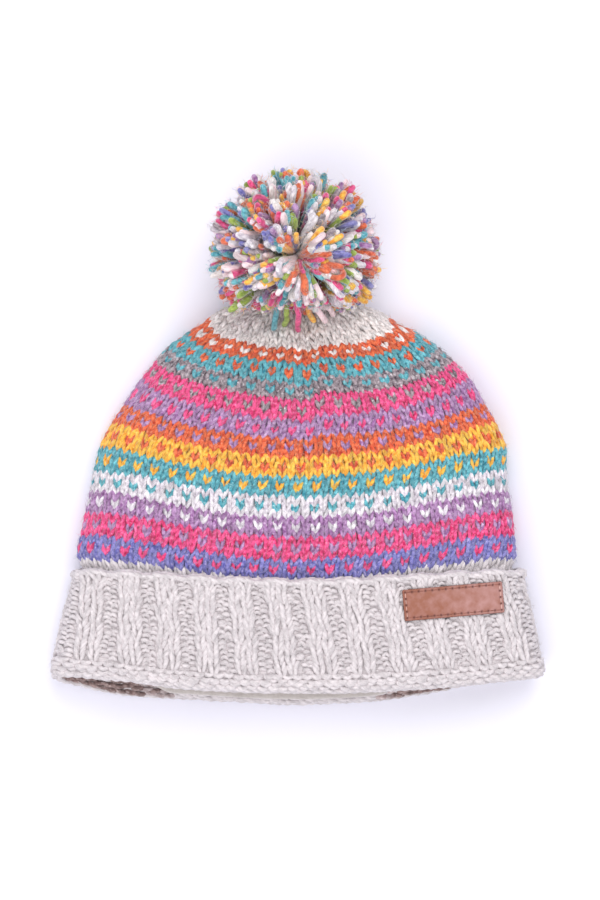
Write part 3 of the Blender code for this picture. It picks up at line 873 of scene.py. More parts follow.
# %% Where the tag presses the ribs
TAG_LENGTH, TAG_HEIGHT, TAG_THICKNESS = 52.5 * MM, 16.3 * MM, 1.6 * MM
TAG_TILT = math.radians(5)
TAG_CORNER = 1.0 * MM
TAG_MARGIN, TAG_GAP = 0.9 * MM, 0.3 * MM
SEAM_INSET = 1.5 * MM
HOLE_SPACING = 3.6 * MM
tag_low, tag_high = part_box("tag")
TAG_X, TAG_Y = (tag_low.x + tag_high.x) / 2, (tag_low.y + tag_high.y) / 2


def cuff_face(x, y, stand):
    """Points off the front of the cuff, above plan positions x, y."""
    along = (y - HEM_LINE_Y) / HAT_LENGTH
    width = section("width", along) * HALF_WIDTH + stand
    across = (x - section("shift", along) * HALF_WIDTH) / width
    turn = np.arccos(np.sign(across) * np.minimum(1, np.abs(across)) ** (ARCH_POWER / 2))
    return body_point(turn, along, stand)


def on_tag(a, b, height):
    """A point of the tag: a and b from its middle along and across it, height above its underside."""
    x = TAG_X + a * math.cos(TAG_TILT) - b * math.sin(TAG_TILT)
    y = TAG_Y + a * math.sin(TAG_TILT) + b * math.cos(TAG_TILT)
    return cuff_face(x, y, CUFF_STAND + TAG_GAP + height)


def under_tag(points):
    """Yarn below the leather is pressed flat beneath it."""
    points = above_table(points)
    x, y = points[..., 0] - TAG_X, points[..., 1] - TAG_Y
    a = x * math.cos(TAG_TILT) + y * math.sin(TAG_TILT)
    b = y * math.cos(TAG_TILT) - x * math.sin(TAG_TILT)
    covered = (np.abs(a) < TAG_LENGTH / 2 + TAG_MARGIN) & (np.abs(b) < TAG_HEIGHT / 2 + TAG_MARGIN)
    covered &= points[..., 2] > CREASE
    pressed = points[covered]
    ceiling = cuff_face(pressed[:, 0], pressed[:, 1], CUFF_STAND + 0.1 * MM)[:, 2]
    pressed[:, 2] = np.minimum(pressed[:, 2], ceiling)
    points[covered] = pressed
    return points


# %% Knit the ribs
CUFF_STITCHES = RIB_COUNT * RIB_COLUMNS
RIB_STITCH, FURROW_BUMP = 1.22, 0.78  # widths, in columns
FURROW_START, FURROW_STEP = 2.16, 0.68  # where a furrow's bumps lie, in columns
FURROW_SIDES = 5
RIB_PLUMP = 0.98
rib_rows = np.arange(HEM_ROWS, CUFF_ROWS)
PURL_STEPS = np.array((-1.0, -0.55, 0.0, 0.55, 1.0))
PURL_RISE = np.array((-0.30, 0.10, 0.30, 0.10, -0.30))  # of a row's height
PURL_OUT = np.array((-0.95, 0.15, 0.50, 0.15, -0.95)) * MM
PURL_RADIUS = np.array((0.60, 0.95, 1.0, 0.95, 0.60)) * 1.30 * MM


def wander(v, u):
    """Columns of hand-knitting are never quite straight."""
    slow, own = 0.10 / CUFF_STITCHES * np.sin(1.1 * v + 40 * u), chance.normal(0, 0.03, len(u))
    return slow + own / CUFF_STITCHES


def knit_ribs():
    """The legs of the knit columns, which stand proud as ribs."""
    wales = np.array([j for j in range(CUFF_STITCHES) if j % RIB_COLUMNS < 2])
    u, v = (a.ravel() for a in np.meshgrid(wales / CUFF_STITCHES, rib_rows.astype(float)))
    spread = np.where(wales % RIB_COLUMNS == 0, -0.5, 0.5) * (RIB_STITCH - 1) / CUFF_STITCHES
    u = u + np.tile(spread, len(rib_rows)) + wander(v, u)
    return knit_legs(cuff_grid, u, v, RIB_STITCH / CUFF_STITCHES, cuff_stand, RIB_LEG, RIB_PLUMP)


def purl_bumps(grid, u, v, width, stand_of, arch, plump, slant=0.0):
    """Bumps that lie across the columns: arches, or hollows where arch is below 0."""
    count = len(u)
    size = 1 + chance.normal(0, 0.09, (count, 1))
    at_u = u[:, None] + PURL_STEPS * 0.56 * width + chance.normal(0, 0.05, (count, 1)) * width
    at_v = v[:, None] + PURL_RISE * arch[:, None] + chance.normal(0, 0.11, (count, 1))
    at_v = at_v + slant * PURL_STEPS
    points, normals = on_cloth(grid, at_u, at_v, PURL_OUT * plump + stand_of(at_u, at_v))
    return points, np.broadcast_to(PURL_RADIUS * size * plump, (count, len(PURL_STEPS))), normals


def merged(*groups):
    """Paths, radii and normals of several groups as one."""
    return [np.concatenate(parts) for parts in zip(*groups)]


rib_mesh = yarn_mesh("cuff ribs", *knit_ribs(), PURL_SIDES, settle=under_tag)
add_piece("cuff_ribs", rib_mesh, [WOOLS["cuff"]])

furrow_columns = np.arange(2 * RIB_COUNT)
furrow_middles = furrow_columns // 2 * RIB_COLUMNS + FURROW_START + FURROW_STEP * (furrow_columns % 2)
furrow_u, furrow_v = (a.ravel() for a in np.meshgrid(furrow_middles / CUFF_STITCHES, rib_rows + 0.25))
furrow_v = furrow_v + np.tile(0.5 * (furrow_columns % 2), len(rib_rows))
furrow_u = furrow_u + wander(furrow_v, furrow_u)
furrow_u = furrow_u + chance.normal(0, 0.10, len(furrow_u)) / CUFF_STITCHES
arched = chance.normal(0.9, 0.4, len(furrow_u))
bump_width = FURROW_BUMP / CUFF_STITCHES
furrows = purl_bumps(cuff_grid, furrow_u, furrow_v, bump_width, cuff_stand, arched, RIB_PLUMP)
furrow_mesh = yarn_mesh("cuff furrows", *furrows, FURROW_SIDES, settle=under_tag)
add_piece("cuff_furrows", furrow_mesh, [WOOLS["cuff"]])

# %% [markdown]
# ## The garter-stitch hem and the fold
# Below the ribs two rows of garter stitch run round, and the fabric turns under at the lower one. Its
# bumps hang in hollows, half a stitch apart from row to row. The fold needs a grid of its own, which
# goes round the turn from the outer face to the inner one. Inside the corners of the mouth the yarn is
# given darker brown wools as painted shade, where the inside of the mouth lies in shadow.

# %% Hem bumps
HEM_BUMP, HEM_PLUMP = 0.98, 1.24  # a bump's width in columns, and its thickness
column_u = np.arange(CUFF_STITCHES) / CUFF_STITCHES
HOLLOWS = np.full(CUFF_STITCHES, -1.1)
hem_parts = []
for row in range(HEM_ROWS):
    u = column_u + 0.5 * (row % 2) / CUFF_STITCHES
    v = np.full(CUFF_STITCHES, row + 0.45)
    width = HEM_BUMP / CUFF_STITCHES
    hem_parts.append(purl_bumps(cuff_grid, u, v, width, cuff_stand, HOLLOWS, HEM_PLUMP))
hem_mesh = yarn_mesh("cuff hem", *merged(*hem_parts), PURL_SIDES)
add_piece("cuff_hem", hem_mesh, [WOOLS["cuff"]])

# %% The fold and the free edge
FOLD_ROWS = 4
INNER_ROWS = 2
INNER_LEVEL_STEP = 1.7 * MM


def fold_grid():
    """A grid that runs from the outer face, under the fold and up the inner face."""
    levels = []
    for step in np.linspace(0, 1, LEVELS_PER_ROW * FOLD_ROWS + 1):
        below, inward = FOLD_RADIUS * math.sin(math.pi * step), FOLD_RADIUS * math.cos(math.pi * step)
        levels.append((shifted(TURNED_RING, -below), FOLD_MIDDLE + inward))
    for step in range(1, LEVELS_PER_ROW * INNER_ROWS + 1):
        levels.append((shifted(TURNED_RING, step * INNER_LEVEL_STEP), -CUFF_WALL))
    points = np.array([ring_row(ring, stand, GRID_COLUMNS) for ring, stand in levels])
    return points, -grid_normals(points)


turned_grid = fold_grid()
print("fold grid:", turned_grid[0].shape)


def flush(u, v):
    """How far the fold's stitches stand off its grid: only a slow wave."""
    return soft_waves(u, v) * 0.2 * MM - YARN_SINK


FOLD_LINES = (0.15, 0.75, 1.40, 2.05, 2.75, 3.50, 4.35, 5.10, 5.80)
LEVEL = np.zeros(CUFF_STITCHES)
LAST_BUMPY_LINE, FIRST_SHADED_LINE = 1.0, 2.5
CORNERS_X, CORNERS_REACH, CORNERS_FADE = -12 * MM, 50 * MM, 26 * MM  # where the yarn inside the mouth is given darker wools as painted shade
SHADE_MOTTLE, LIGHT_SHADE_FROM, DEEP_SHADE_FROM = 0.16, 0.25, 0.6
FOLD_SHIFT = 0.42  # of a column, from line to line
TURN_BUMP, TURN_PLUMP, TURN_ARCHES = 1.02, 1.20, -0.6 * HOLLOWS
INNER_BUMP, INNER_PLUMP, INNER_SLANT = 1.35, 1.12, 0.16
fold_parts = []
for number, line in enumerate(FOLD_LINES):
    if line < LAST_BUMPY_LINE:
        width, arch, plump, slant = TURN_BUMP, TURN_ARCHES, TURN_PLUMP, 0.0
    else:
        width, arch, plump, slant = INNER_BUMP, LEVEL, INNER_PLUMP, INNER_SLANT * (-1) ** (number + 1)
    u = column_u + FOLD_SHIFT * number / CUFF_STITCHES
    v = np.full(CUFF_STITCHES, line)
    fold_parts.append(purl_bumps(turned_grid, u, v, width / CUFF_STITCHES, flush, arch, plump, slant))
fold_paths, fold_radii, fold_ups = merged(*fold_parts)
# Painted shade: inside the mouth's corners the fold's inner lines turn to darker wools, mushroom then
# taupe, where the inside lies in shadow.
inside = np.repeat(np.array(FOLD_LINES) > FIRST_SHADED_LINE, CUFF_STITCHES)
into_corner = (np.abs(fold_paths[:, 2, 0] - CORNERS_X) - CORNERS_REACH) / CORNERS_FADE
corner_shade = into_corner + chance.normal(0, SHADE_MOTTLE, len(fold_paths))
fold_slots = inside * ((corner_shade > LIGHT_SHADE_FROM).astype(int) + (corner_shade > DEEP_SHADE_FROM))
fold_mesh = yarn_mesh("cuff fold", fold_paths, fold_radii, fold_ups, PURL_SIDES, fold_slots)
add_piece("cuff_fold", fold_mesh, [WOOLS["cuff"], WOOLS["shaded mushroom"], WOOLS["shaded taupe"]])

EDGE_ROW = CUFF_ROWS - 0.15
EDGE_REACH = 3.2 * MM  # how far a row past the edge stands out
# Each row: how far out, how far up and which slant, of one chain of loops.
EDGE_CHAINS = ((-0.2 * MM, 0.15, 0.28), (-2.0 * MM, 0.35, -0.28), (-3.6 * MM, 0.1, 0.28))


def edge_chain(out, rise, slant):
    """A chain of slanting loops that finishes the free edge."""
    steps = np.array((-0.95, -0.5, 0.0, 0.5, 0.95))
    at_u = column_u[:, None] + steps / CUFF_STITCHES
    scallop = 0.35 * rib_height(at_u) - 0.15
    own = chance.normal(0, 0.06, (CUFF_STITCHES, 1))
    at_v = EDGE_ROW + rise + slant * steps + scallop + own
    bulge = np.array((-0.8, 0.1, 0.45, 0.1, -0.8)) * MM + out
    points, normals = on_cloth(cuff_grid, at_u, at_v, cuff_stand(at_u, at_v) + bulge)
    past_edge = np.clip(at_v - CUFF_ROWS, 0, None)[..., None] * np.array([0, EDGE_REACH, 0])
    return points + past_edge, np.broadcast_to(PURL_RADIUS * 1.05, at_u.shape), normals


edge_parts = [edge_chain(*chain) for chain in EDGE_CHAINS]
edge_mesh = yarn_mesh("cuff edge", *merged(*edge_parts), PURL_SIDES)
add_piece("cuff_edge", edge_mesh, [WOOLS["cuff"]])

# %% The cuff's backing shell
WALL_COLUMNS = 160
INNER_LEVELS, FLAP_LEVELS, FACE_LEVELS, FOLD_LEVELS = 8, 16, 32, 7
CUFF_BACKING_DEPTH, INNER_FACE_DEPTH, FLAP_GAP = 0.3 * MM, 0.9 * MM, 0.3 * MM


def cuff_backing():
    """The cuff's fabric behind its stitches: its inner layer, its fold and its flap, as one wall."""
    seam = shifted(CROWN_RINGS[0][:4], -0.3 * MM)
    shares = np.linspace(0, 1, INNER_LEVELS)
    inner = [(between(TURNED_RING, seam, s), INNER_FACE_DEPTH - CUFF_WALL) for s in shares]
    middle = [(between(seam, TURNED_RING, s), 0.0) for s in shares]
    turn = [(shifted(TURNED_RING, -0.5 * MM), CUFF_CLEARANCE / 2)]
    shares = np.linspace(0, 0.99, FLAP_LEVELS)
    flap = [(between(TURNED_RING, EDGE_RING, s), CUFF_CLEARANCE + FLAP_GAP) for s in shares]
    rows = [ring_row(ring, stand, WALL_COLUMNS) for ring, stand in inner + middle + turn + flap]
    face_rows = np.linspace(0.99, 0, FACE_LEVELS) * CUFF_ROWS
    rows += cloth_rows(cuff_grid, face_rows, -CUFF_BACKING_DEPTH, cuff_stand, WALL_COLUMNS)
    radius = FOLD_RADIUS - YARN_SINK
    for a in np.linspace(0, math.pi, FOLD_LEVELS)[1:-1]:
        ring = shifted(TURNED_RING, -radius * math.sin(a))
        rows.append(ring_row(ring, FOLD_MIDDLE + radius * math.cos(a), WALL_COLUMNS))
    return rows


cuff_wall_rows = cuff_backing()
# Painted shade: the cuff wall's inner face is in taupe, for the shadow inside the mouth's corners.
shaded_inner_face = np.arange(len(cuff_wall_rows)) < INNER_LEVELS - 1
cuff_wall = wall_mesh("cuff backing", cuff_wall_rows, shaded_inner_face.astype(int))
add_piece("cuff_backing", cuff_wall, [WOOLS["cuff"], WOOLS["shaded taupe"]], ["cuff"])

# %% [markdown]
# ## The fleece band
# A soft cream fleece lines the cuff, and shows as a smooth band in the opening. Its nap is far too fine
# to model, so it is a smooth wall with a rounded lower edge and a bump of soft tufts.

# %% Fleece
def fleece_material():
    """Cream fleece, with soft tufts."""
    made, tree, shader = new_material("cream fleece", 0.95, 0.5)
    place = add_node(tree, "ShaderNodeTexCoord").outputs["Object"]
    tufts = noise(tree, place, 700.0, 4.0)
    dark, pale = (*from_screen(186, 178, 173), 1), (*from_screen(220, 212, 208), 1)
    tree.links.new(mixed(tree, tufts, dark, pale), shader.inputs["Base Color"])
    bumped(tree, shader, tufts, 0.7, 0.5 * MM)
    return made


LINING_WALL, LINING_SET_BACK, LINING_HEIGHT = 1.8 * MM, 3.5 * MM, 34 * MM
LINING_STAND = -CUFF_WALL - 0.3 * MM
FLEECE_COLUMNS = 300
NAP, RUFFLE = 0.28 * MM, 0.5 * MM
FLEECE_CORNERS, FLEECE_FADE, CORNER_DEPTH = 56 * MM, 20 * MM, 6.5 * MM


def corner_set_back(points):
    """In the mouth's corners the fleece ends deeper, and shows the knitting inside."""
    share = np.clip((np.abs(points[:, 0] - CORNERS_X) - FLEECE_CORNERS) / FLEECE_FADE, 0, 1)
    return CORNER_DEPTH * share * share * (3 - 2 * share)


def lining_rows():
    """Rows of points up the band's back, over its top edge, down its napped face and round below."""
    low = shifted(HEM_RING, LINING_SET_BACK)
    half = LINING_WALL / 2
    profile = [(s * LINING_HEIGHT, LINING_STAND) for s in np.linspace(0.02, 0.98, 6)]
    profile += [(LINING_HEIGHT, LINING_STAND - half)]
    profile += [(s * LINING_HEIGHT, LINING_STAND - LINING_WALL) for s in np.linspace(0.98, 0.02, 20)]
    profile += [(-half * math.sin(a), LINING_STAND - half - half * math.cos(a)) for a in (0.6, 1.57, 2.5)]
    rows = []
    shares = np.arange(FLEECE_COLUMNS) / FLEECE_COLUMNS
    for reach, stand in profile:
        ruffle = soft_waves(shares, 3.0 + reach / (8 * MM)) * RUFFLE
        tufts = np.abs(ruffle) + np.abs(chance.normal(0, NAP, FLEECE_COLUMNS))
        inward = np.where(stand < LINING_STAND - 0.1 * MM, tufts, 0)
        rows.append(ring_row(shifted(low, reach), stand - inward, FLEECE_COLUMNS, corner_set_back))
    return rows


fleece_rows = lining_rows()
quads = wound(fleece_rows, closed=True)
fleece_sizes = np.full(len(quads), 4)
fleece_mesh = build_mesh("fleece band", np.concatenate(fleece_rows), quads.ravel(), fleece_sizes)
add_piece("fleece_band", fleece_mesh, [fleece_material()], ["lining"])

# %% [markdown]
# ## The leather tag
# A strip of vegetable-tanned leather, sewn on round its edge. It is left bare. A grid bent over the
# ribs gives the face, its corners are rounded, and it is pulled down a little along the seam. The
# thread is real geometry: short stitches that dive into holes, whose darkness is painted shade.

# %% Leather
LEATHER_DYES = ((154, 96, 76), (184, 136, 130), (92, 44, 38))  # tan, its painted paler sheen, and its darker cut edges with the painted shade in its holes


def leather_material():
    """Tan leather: a fine pebbled grain, clouded dye, a paler painted sheen towards its right end, and
    darker cut edges with painted shade in its holes.
    """
    made, tree, shader = new_material("tan leather", 0.5)
    shader.inputs["Specular IOR Level"].default_value = 0.45
    link = tree.links.new
    uv = add_node(tree, "ShaderNodeUVMap", uv_map="along").outputs[0]
    parts = add_node(tree, "ShaderNodeSeparateXYZ")
    link(uv, parts.inputs[0])
    # Painted sheen: the leather grows paler and pinker towards its right end, mottled by the clouded dye.
    ends = maths(tree, "MULTIPLY_ADD", parts.outputs[0], 0.016, 0.40)
    cloud = maths(tree, "MULTIPLY_ADD", noise(tree, uv, 0.20, 4.0), 2.2, -1.1)
    sheen_and_mottle = maths(tree, "ADD", ends, cloud, clamp=True)
    tan, pink, burnt = ((*from_screen(*dye), 1) for dye in LEATHER_DYES)
    # tone darkens the cut edges and paints shade into the sewing holes.
    edge = add_node(tree, "ShaderNodeAttribute", attribute_name="tone").outputs["Fac"]
    sheen_edges_and_hole_shade = mixed(tree, edge, mixed(tree, sheen_and_mottle, tan, pink), burnt)
    link(sheen_edges_and_hole_shade, shader.inputs["Base Color"])
    grain = add_node(tree, "ShaderNodeTexVoronoi", feature="SMOOTH_F1")
    grain.inputs["Scale"].default_value = 2.6
    link(uv, grain.inputs["Vector"])
    fine = noise(tree, uv, 3.0, 5.0)
    height = maths(tree, "ADD", grain.outputs["Distance"], maths(tree, "MULTIPLY", fine, 0.5))
    link(maths(tree, "MULTIPLY_ADD", fine, 0.3, 0.36), shader.inputs["Roughness"])
    bumped(tree, shader, height, 0.35, 0.15 * MM)
    return made


def seam_holes():
    """Places of the holes round the tag, in order, and the way the seam runs at each."""
    half_a, half_b = TAG_LENGTH / 2 - SEAM_INSET, TAG_HEIGHT / 2 - SEAM_INSET
    corners = [(-half_a, -half_b), (half_a, -half_b), (half_a, half_b), (-half_a, half_b)]
    holes = []
    for (a0, b0), (a1, b1) in zip(corners, corners[1:] + corners[:1]):
        count = max(1, round(math.hypot(a1 - a0, b1 - b0) / HOLE_SPACING))
        for step in range(count):
            holes.append((a0 + (a1 - a0) * step / count, b0 + (b1 - b0) * step / count))
    return np.array(holes)


holes = seam_holes()
print("holes round the tag:", len(holes))
TAG_CELLS_A, TAG_CELLS_B = 120, 38
ROUNDING, ROUNDED = 0.45 * MM, 0.6 * MM  # how low the rim is, and how far in it is rounded
SEAM_DIP, SEAM_SPREAD = 0.28 * MM, 0.8 * MM
HOLE_DIP, HOLE_SPREAD, HOLE_SHADE = 0.7 * MM, 0.42 * MM, 0.62 * MM


def tag_mesh():
    """The tag as a closed slab whose face dips at the seam and at each hole."""
    a = np.linspace(-0.5, 0.5, TAG_CELLS_A + 1) * TAG_LENGTH
    b = np.linspace(-0.5, 0.5, TAG_CELLS_B + 1) * TAG_HEIGHT
    grid_a, grid_b = np.meshgrid(a, b)
    over_a = np.abs(grid_a) - (TAG_LENGTH / 2 - TAG_CORNER)
    over_b = np.abs(grid_b) - (TAG_HEIGHT / 2 - TAG_CORNER)
    corner = (over_a > 0) & (over_b > 0)
    reach = np.hypot(over_a, over_b)
    squeeze = np.where(corner, np.maximum(over_a, over_b) / np.maximum(reach, 1e-9), 1)
    grid_a = np.where(corner, np.sign(grid_a) * (TAG_LENGTH / 2 - TAG_CORNER + over_a * squeeze), grid_a)
    grid_b = np.where(corner, np.sign(grid_b) * (TAG_HEIGHT / 2 - TAG_CORNER + over_b * squeeze), grid_b)
    from_edge = np.minimum(TAG_LENGTH / 2 - np.abs(grid_a), TAG_HEIGHT / 2 - np.abs(grid_b))
    rounded = ROUNDING * np.clip(1 - from_edge / ROUNDED, 0, 1) ** 2
    seam = SEAM_DIP * np.exp(-(((from_edge - SEAM_INSET) / SEAM_SPREAD) ** 2))
    near = np.min(np.hypot(grid_a[..., None] - holes[:, 0], grid_b[..., None] - holes[:, 1]), axis=-1)
    dip = HOLE_DIP * np.exp(-((near / HOLE_SPREAD) ** 2))
    waves = 0.12 * MM * np.sin(grid_a / (6 * MM)) * np.cos(grid_b / (5 * MM) + 1)
    top = TAG_THICKNESS - rounded - seam - dip + waves
    upper = on_tag(grid_a, grid_b, top)
    lower = on_tag(grid_a, grid_b, np.zeros_like(top))
    # Painted shade in each sewing hole, and a darker cut edge; tone carries both to the leather.
    painted_hole_shade = 1.1 * np.exp(-((near / HOLE_SHADE) ** 2))
    cut_edge = 0.6 * np.clip(1 - from_edge / (0.5 * MM), 0, 1)
    dark = np.clip(painted_hole_shade + cut_edge, 0, 1)
    columns = TAG_CELLS_A + 1
    per_face = upper.shape[0] * columns
    i, j = np.meshgrid(np.arange(TAG_CELLS_B), np.arange(TAG_CELLS_A), indexing="ij")
    base = (i * columns + j).ravel()
    face = np.stack([base, base + 1, base + columns + 1, base + columns], 1)
    rim = np.concatenate([
        np.arange(TAG_CELLS_A), TAG_CELLS_A + columns * np.arange(TAG_CELLS_B),
        columns * TAG_CELLS_B + TAG_CELLS_A - np.arange(TAG_CELLS_A),
        columns * (TAG_CELLS_B - np.arange(TAG_CELLS_B)),
    ])
    after = np.roll(rim, -1)
    wall = np.stack([rim + per_face, after + per_face, after, rim], 1)
    quads = np.concatenate([face, face[:, ::-1] + per_face, wall])
    points = np.concatenate([upper.reshape(-1, 3), lower.reshape(-1, 3)])
    flat = np.stack([grid_a.ravel(), grid_b.ravel()], 1) / MM
    uvs = np.concatenate([flat, flat])[quads.ravel()]
    tone = np.concatenate([dark.ravel(), np.full(per_face, 0.8)])
    return build_mesh("leather tag", points, quads.ravel(), np.full(len(quads), 4), uvs, tone)


add_piece("leather_tag", tag_mesh(), [leather_material()], ["tag"])


# %% Sew it on
def sewing():
    """One stitch of thread between each hole and the next, sunk at both ends."""
    start, end = holes, np.roll(holes, -1, axis=0)
    t = np.array((0.10, 0.25, 0.5, 0.75, 0.90))
    a = start[:, None, 0] + (end - start)[:, None, 0] * t
    b = start[:, None, 1] + (end - start)[:, None, 1] * t
    lift = np.array((-0.75, -0.15, 0.0, -0.15, -0.75)) * MM
    points = on_tag(a, b, TAG_THICKNESS - 0.22 * MM + lift[None])
    above = on_tag(a, b, TAG_THICKNESS + 1 * MM)
    radii = np.broadcast_to(np.array((0.16, 0.24, 0.26, 0.24, 0.16)) * MM, a.shape)
    ups = above - points
    return points, radii, ups / np.linalg.norm(ups, axis=2, keepdims=True)


threads = [
    wool("seam thread", (232, 196, 188), (206, 156, 144), twist=0.9, relief=0.3),
    wool("sunk seam thread", (164, 104, 90), (128, 74, 62), twist=0.9, relief=0.3),
]
along_edge = np.abs(np.roll(holes, -1, axis=0) - holes)
long_side = (along_edge[:, 0] > along_edge[:, 1]).astype(int)
add_piece("tag_thread", yarn_mesh("tag thread", *sewing(), 6, long_side), threads)

# %% [markdown]
# ## The pom-pom
# Lengths of yarn are tied in their middle and trimmed to a ball. Where the tie parts them they splay
# out flat like petals, and that parting faces the camera here. Elsewhere only the cut ends show. Each
# strand is a tube on its own curve: its root lies nearer the parting than its tip. Particle hair could
# fill a ball faster, but its strands would be too thin and too even.

# %% Strands
chance = np.random.default_rng(21)  # the ball's own source of chance
POMPOM_RADIUS = 43.5 * MM
POMPOM_PRESS = 3.0 * MM
POMPOM_CENTRE = np.array([-1.0 * MM, TIP_Y + 0.48 * POMPOM_RADIUS, POMPOM_RADIUS - POMPOM_PRESS])
PARTING = np.array([0.055, -0.18, 0.98]) / np.linalg.norm([0.055, -0.18, 0.98])
STRANDS = 1540
STRAND_RADIUS = 1.66 * MM
STRAND_STEPS = np.array((0, 0.19, 0.38, 0.57, 0.76, 0.93, 1.0))  # closest at the rounded tip
STRAND_POINTS = len(STRAND_STEPS)
TUFTS = 70
OWN_WAY, TUFT_WAY = 0.70, 0.30  # how far a tip keeps its way, and how far its tuft draws it
PARTING_GAP = math.radians(11)  # no tips this near the parting
SPLAY, SPLAY_REACH = math.radians(34), math.radians(60)
CRATER_DEPTH, CRATER_REACH = 0.24, math.radians(26)
TRIM_REACH = 0.957  # of the ball's radius
POMPOM_SHARES = {
    "oatmeal": 0.09, "ivory": 0.14, "blush": 0.14, "orange": 0.125, "teal": 0.11, "yellow": 0.09,
    "pink": 0.095, "periwinkle": 0.09, "moss": 0.06, "grey": 0.015, "lilac": 0.045,
}


def unit(vectors):
    """The same directions, each of length 1."""
    return vectors / np.linalg.norm(vectors, axis=-1, keepdims=True)


def even_directions(count, shake):
    """Directions spread evenly over a sphere, a little shaken."""
    i = np.arange(count) + 0.5
    height = 1 - 2 * i / count
    turn = math.pi * (1 + 5**0.5) * i
    flat = np.sqrt(1 - height**2)
    spread = np.stack([flat * np.cos(turn), flat * np.sin(turn), height], 1)
    return unit(spread + chance.normal(0, shake, spread.shape))


CROWN_LINE_Y = 67 * MM  # the trimmed ball ends here over the crown
COVER_STAND, COVER_COLUMNS = 2.4 * MM, 96


def trimmed_over_crown(tips, reach):
    """What is left of each strand where the ball is trimmed back over the crown."""
    depth = POMPOM_CENTRE[1] - CROWN_LINE_Y + chance.normal(0, 1.2 * MM, len(tips))
    room = depth / np.maximum(-tips[:, 1] * reach, 1e-6)
    return np.where(tips[:, 1] < 0, np.clip(room, 0.55, 1), 1)


def strand_paths():
    """Curves that rise from the heart of the ball, nearer the parting, and lean out to their tips."""
    tips = even_directions(STRANDS, 0.03)
    tufts = even_directions(TUFTS, 0.10)
    tuft = np.argmax(tips @ tufts.T, axis=1)
    tips = unit(tips * OWN_WAY + tufts[tuft] * TUFT_WAY)
    angle = np.arccos(np.clip(tips @ PARTING, -1, 1))
    keep = angle > PARTING_GAP
    tips, angle, tuft = tips[keep], angle[keep], tuft[keep]
    side = unit(tips - PARTING * (tips @ PARTING)[:, None])
    toward = side @ unit(np.array([0.8, -0.6, 0.0]))
    splay = SPLAY * np.exp(-((angle / SPLAY_REACH) ** 2)) * (0.62 + 0.38 * toward)
    root = np.maximum(angle - splay + chance.normal(0, 0.06, len(tips)), 0.02)
    t = STRAND_STEPS[None]
    at = root[:, None] + (angle - root)[:, None] * t**1.5
    tuft_reach = 1 + np.clip(chance.normal(0, 0.045, TUFTS), -0.11, 0.04)
    own_reach = 1 + np.clip(chance.normal(0, 0.05, len(tips)), -0.16, 0.05)
    reach = TRIM_REACH * POMPOM_RADIUS * tuft_reach[tuft] * own_reach
    reach *= trimmed_over_crown(tips, reach)
    crater = 1 - CRATER_DEPTH * np.exp(-((angle / CRATER_REACH) ** 2))
    radius = (0.40 + 0.60 * t ** 0.85) * (reach * crater)[:, None]
    tuft_curl = chance.normal(0, 0.17, TUFTS)
    curl = (tuft_curl[tuft] + chance.normal(0, 0.09, len(tips)))[:, None] * (1 - t) ** 1.5
    around = np.cross(PARTING, side)
    turned = side[:, None] * np.cos(curl)[..., None] + around[:, None] * np.sin(curl)[..., None]
    ways = PARTING[None, None] * np.cos(at)[..., None] + turned * np.sin(at)[..., None]
    shaken = chance.normal(0, 0.6 * MM, (len(tips), STRAND_POINTS, 3)) * (t**0.5)[..., None]
    shaken[:, -1] = shaken[:, -2] + 0.35 * shaken[:, -1]
    return POMPOM_CENTRE + ways * radius[..., None] + shaken, tips


def crown_cover():
    """The knitted crown's outer face, which the strands must not enter."""
    rows = cloth_rows(crown_grid, crown_rows_out, COVER_STAND, crown_stand, COVER_COLUMNS)
    return BVHTree.FromPolygons(np.concatenate(rows).tolist(), wound(rows).tolist())


cover = crown_cover()


def kept_clear(paths):
    """Shortens each strand that would enter the crown or the table, and bends it as it is pressed."""
    centre = Vector(POMPOM_CENTRE)
    kept = paths.copy()
    for number, path in enumerate(paths):
        for place, point in enumerate(path):
            way = Vector(point) - centre
            length = way.length
            hit = cover.ray_cast(centre, way / length, length)
            if hit[0] is not None:
                kept[number, place] = centre + way / length * max(hit[3], 2 * MM)
    kept[..., 2] = np.maximum(kept[..., 2], 0.8 * STRAND_RADIUS)
    return kept


strands, strand_tips = strand_paths()
strands = kept_clear(strands)
print("strands:", len(strands))


# %% Colours in small bunches
BUNCHES, BUNCHED, TWO_COLOURED = 420, 0.45, 0.28  # how many, and shares of the strands


def strand_colours(tips):
    """Each strand takes a wool by its share, or the wool of a neighbour, so that colours bunch."""
    weights = np.array(list(POMPOM_SHARES.values()))
    weights = weights / weights.sum()
    picked = chance.choice(len(weights), len(tips), p=weights)
    bunched = chance.random(len(tips)) < BUNCHED
    centres = tips[chance.choice(len(tips), BUNCHES, replace=False)]
    wool_of = chance.choice(len(weights), BUNCHES, p=weights)
    nearest = np.argmax(tips @ centres.T, axis=1)
    return np.where(bunched, wool_of[nearest], picked)


def paler(colour, share):
    """A colour moved a share of the way to near white."""
    return tuple(round(v + (250 - v) * share) for v in colour)


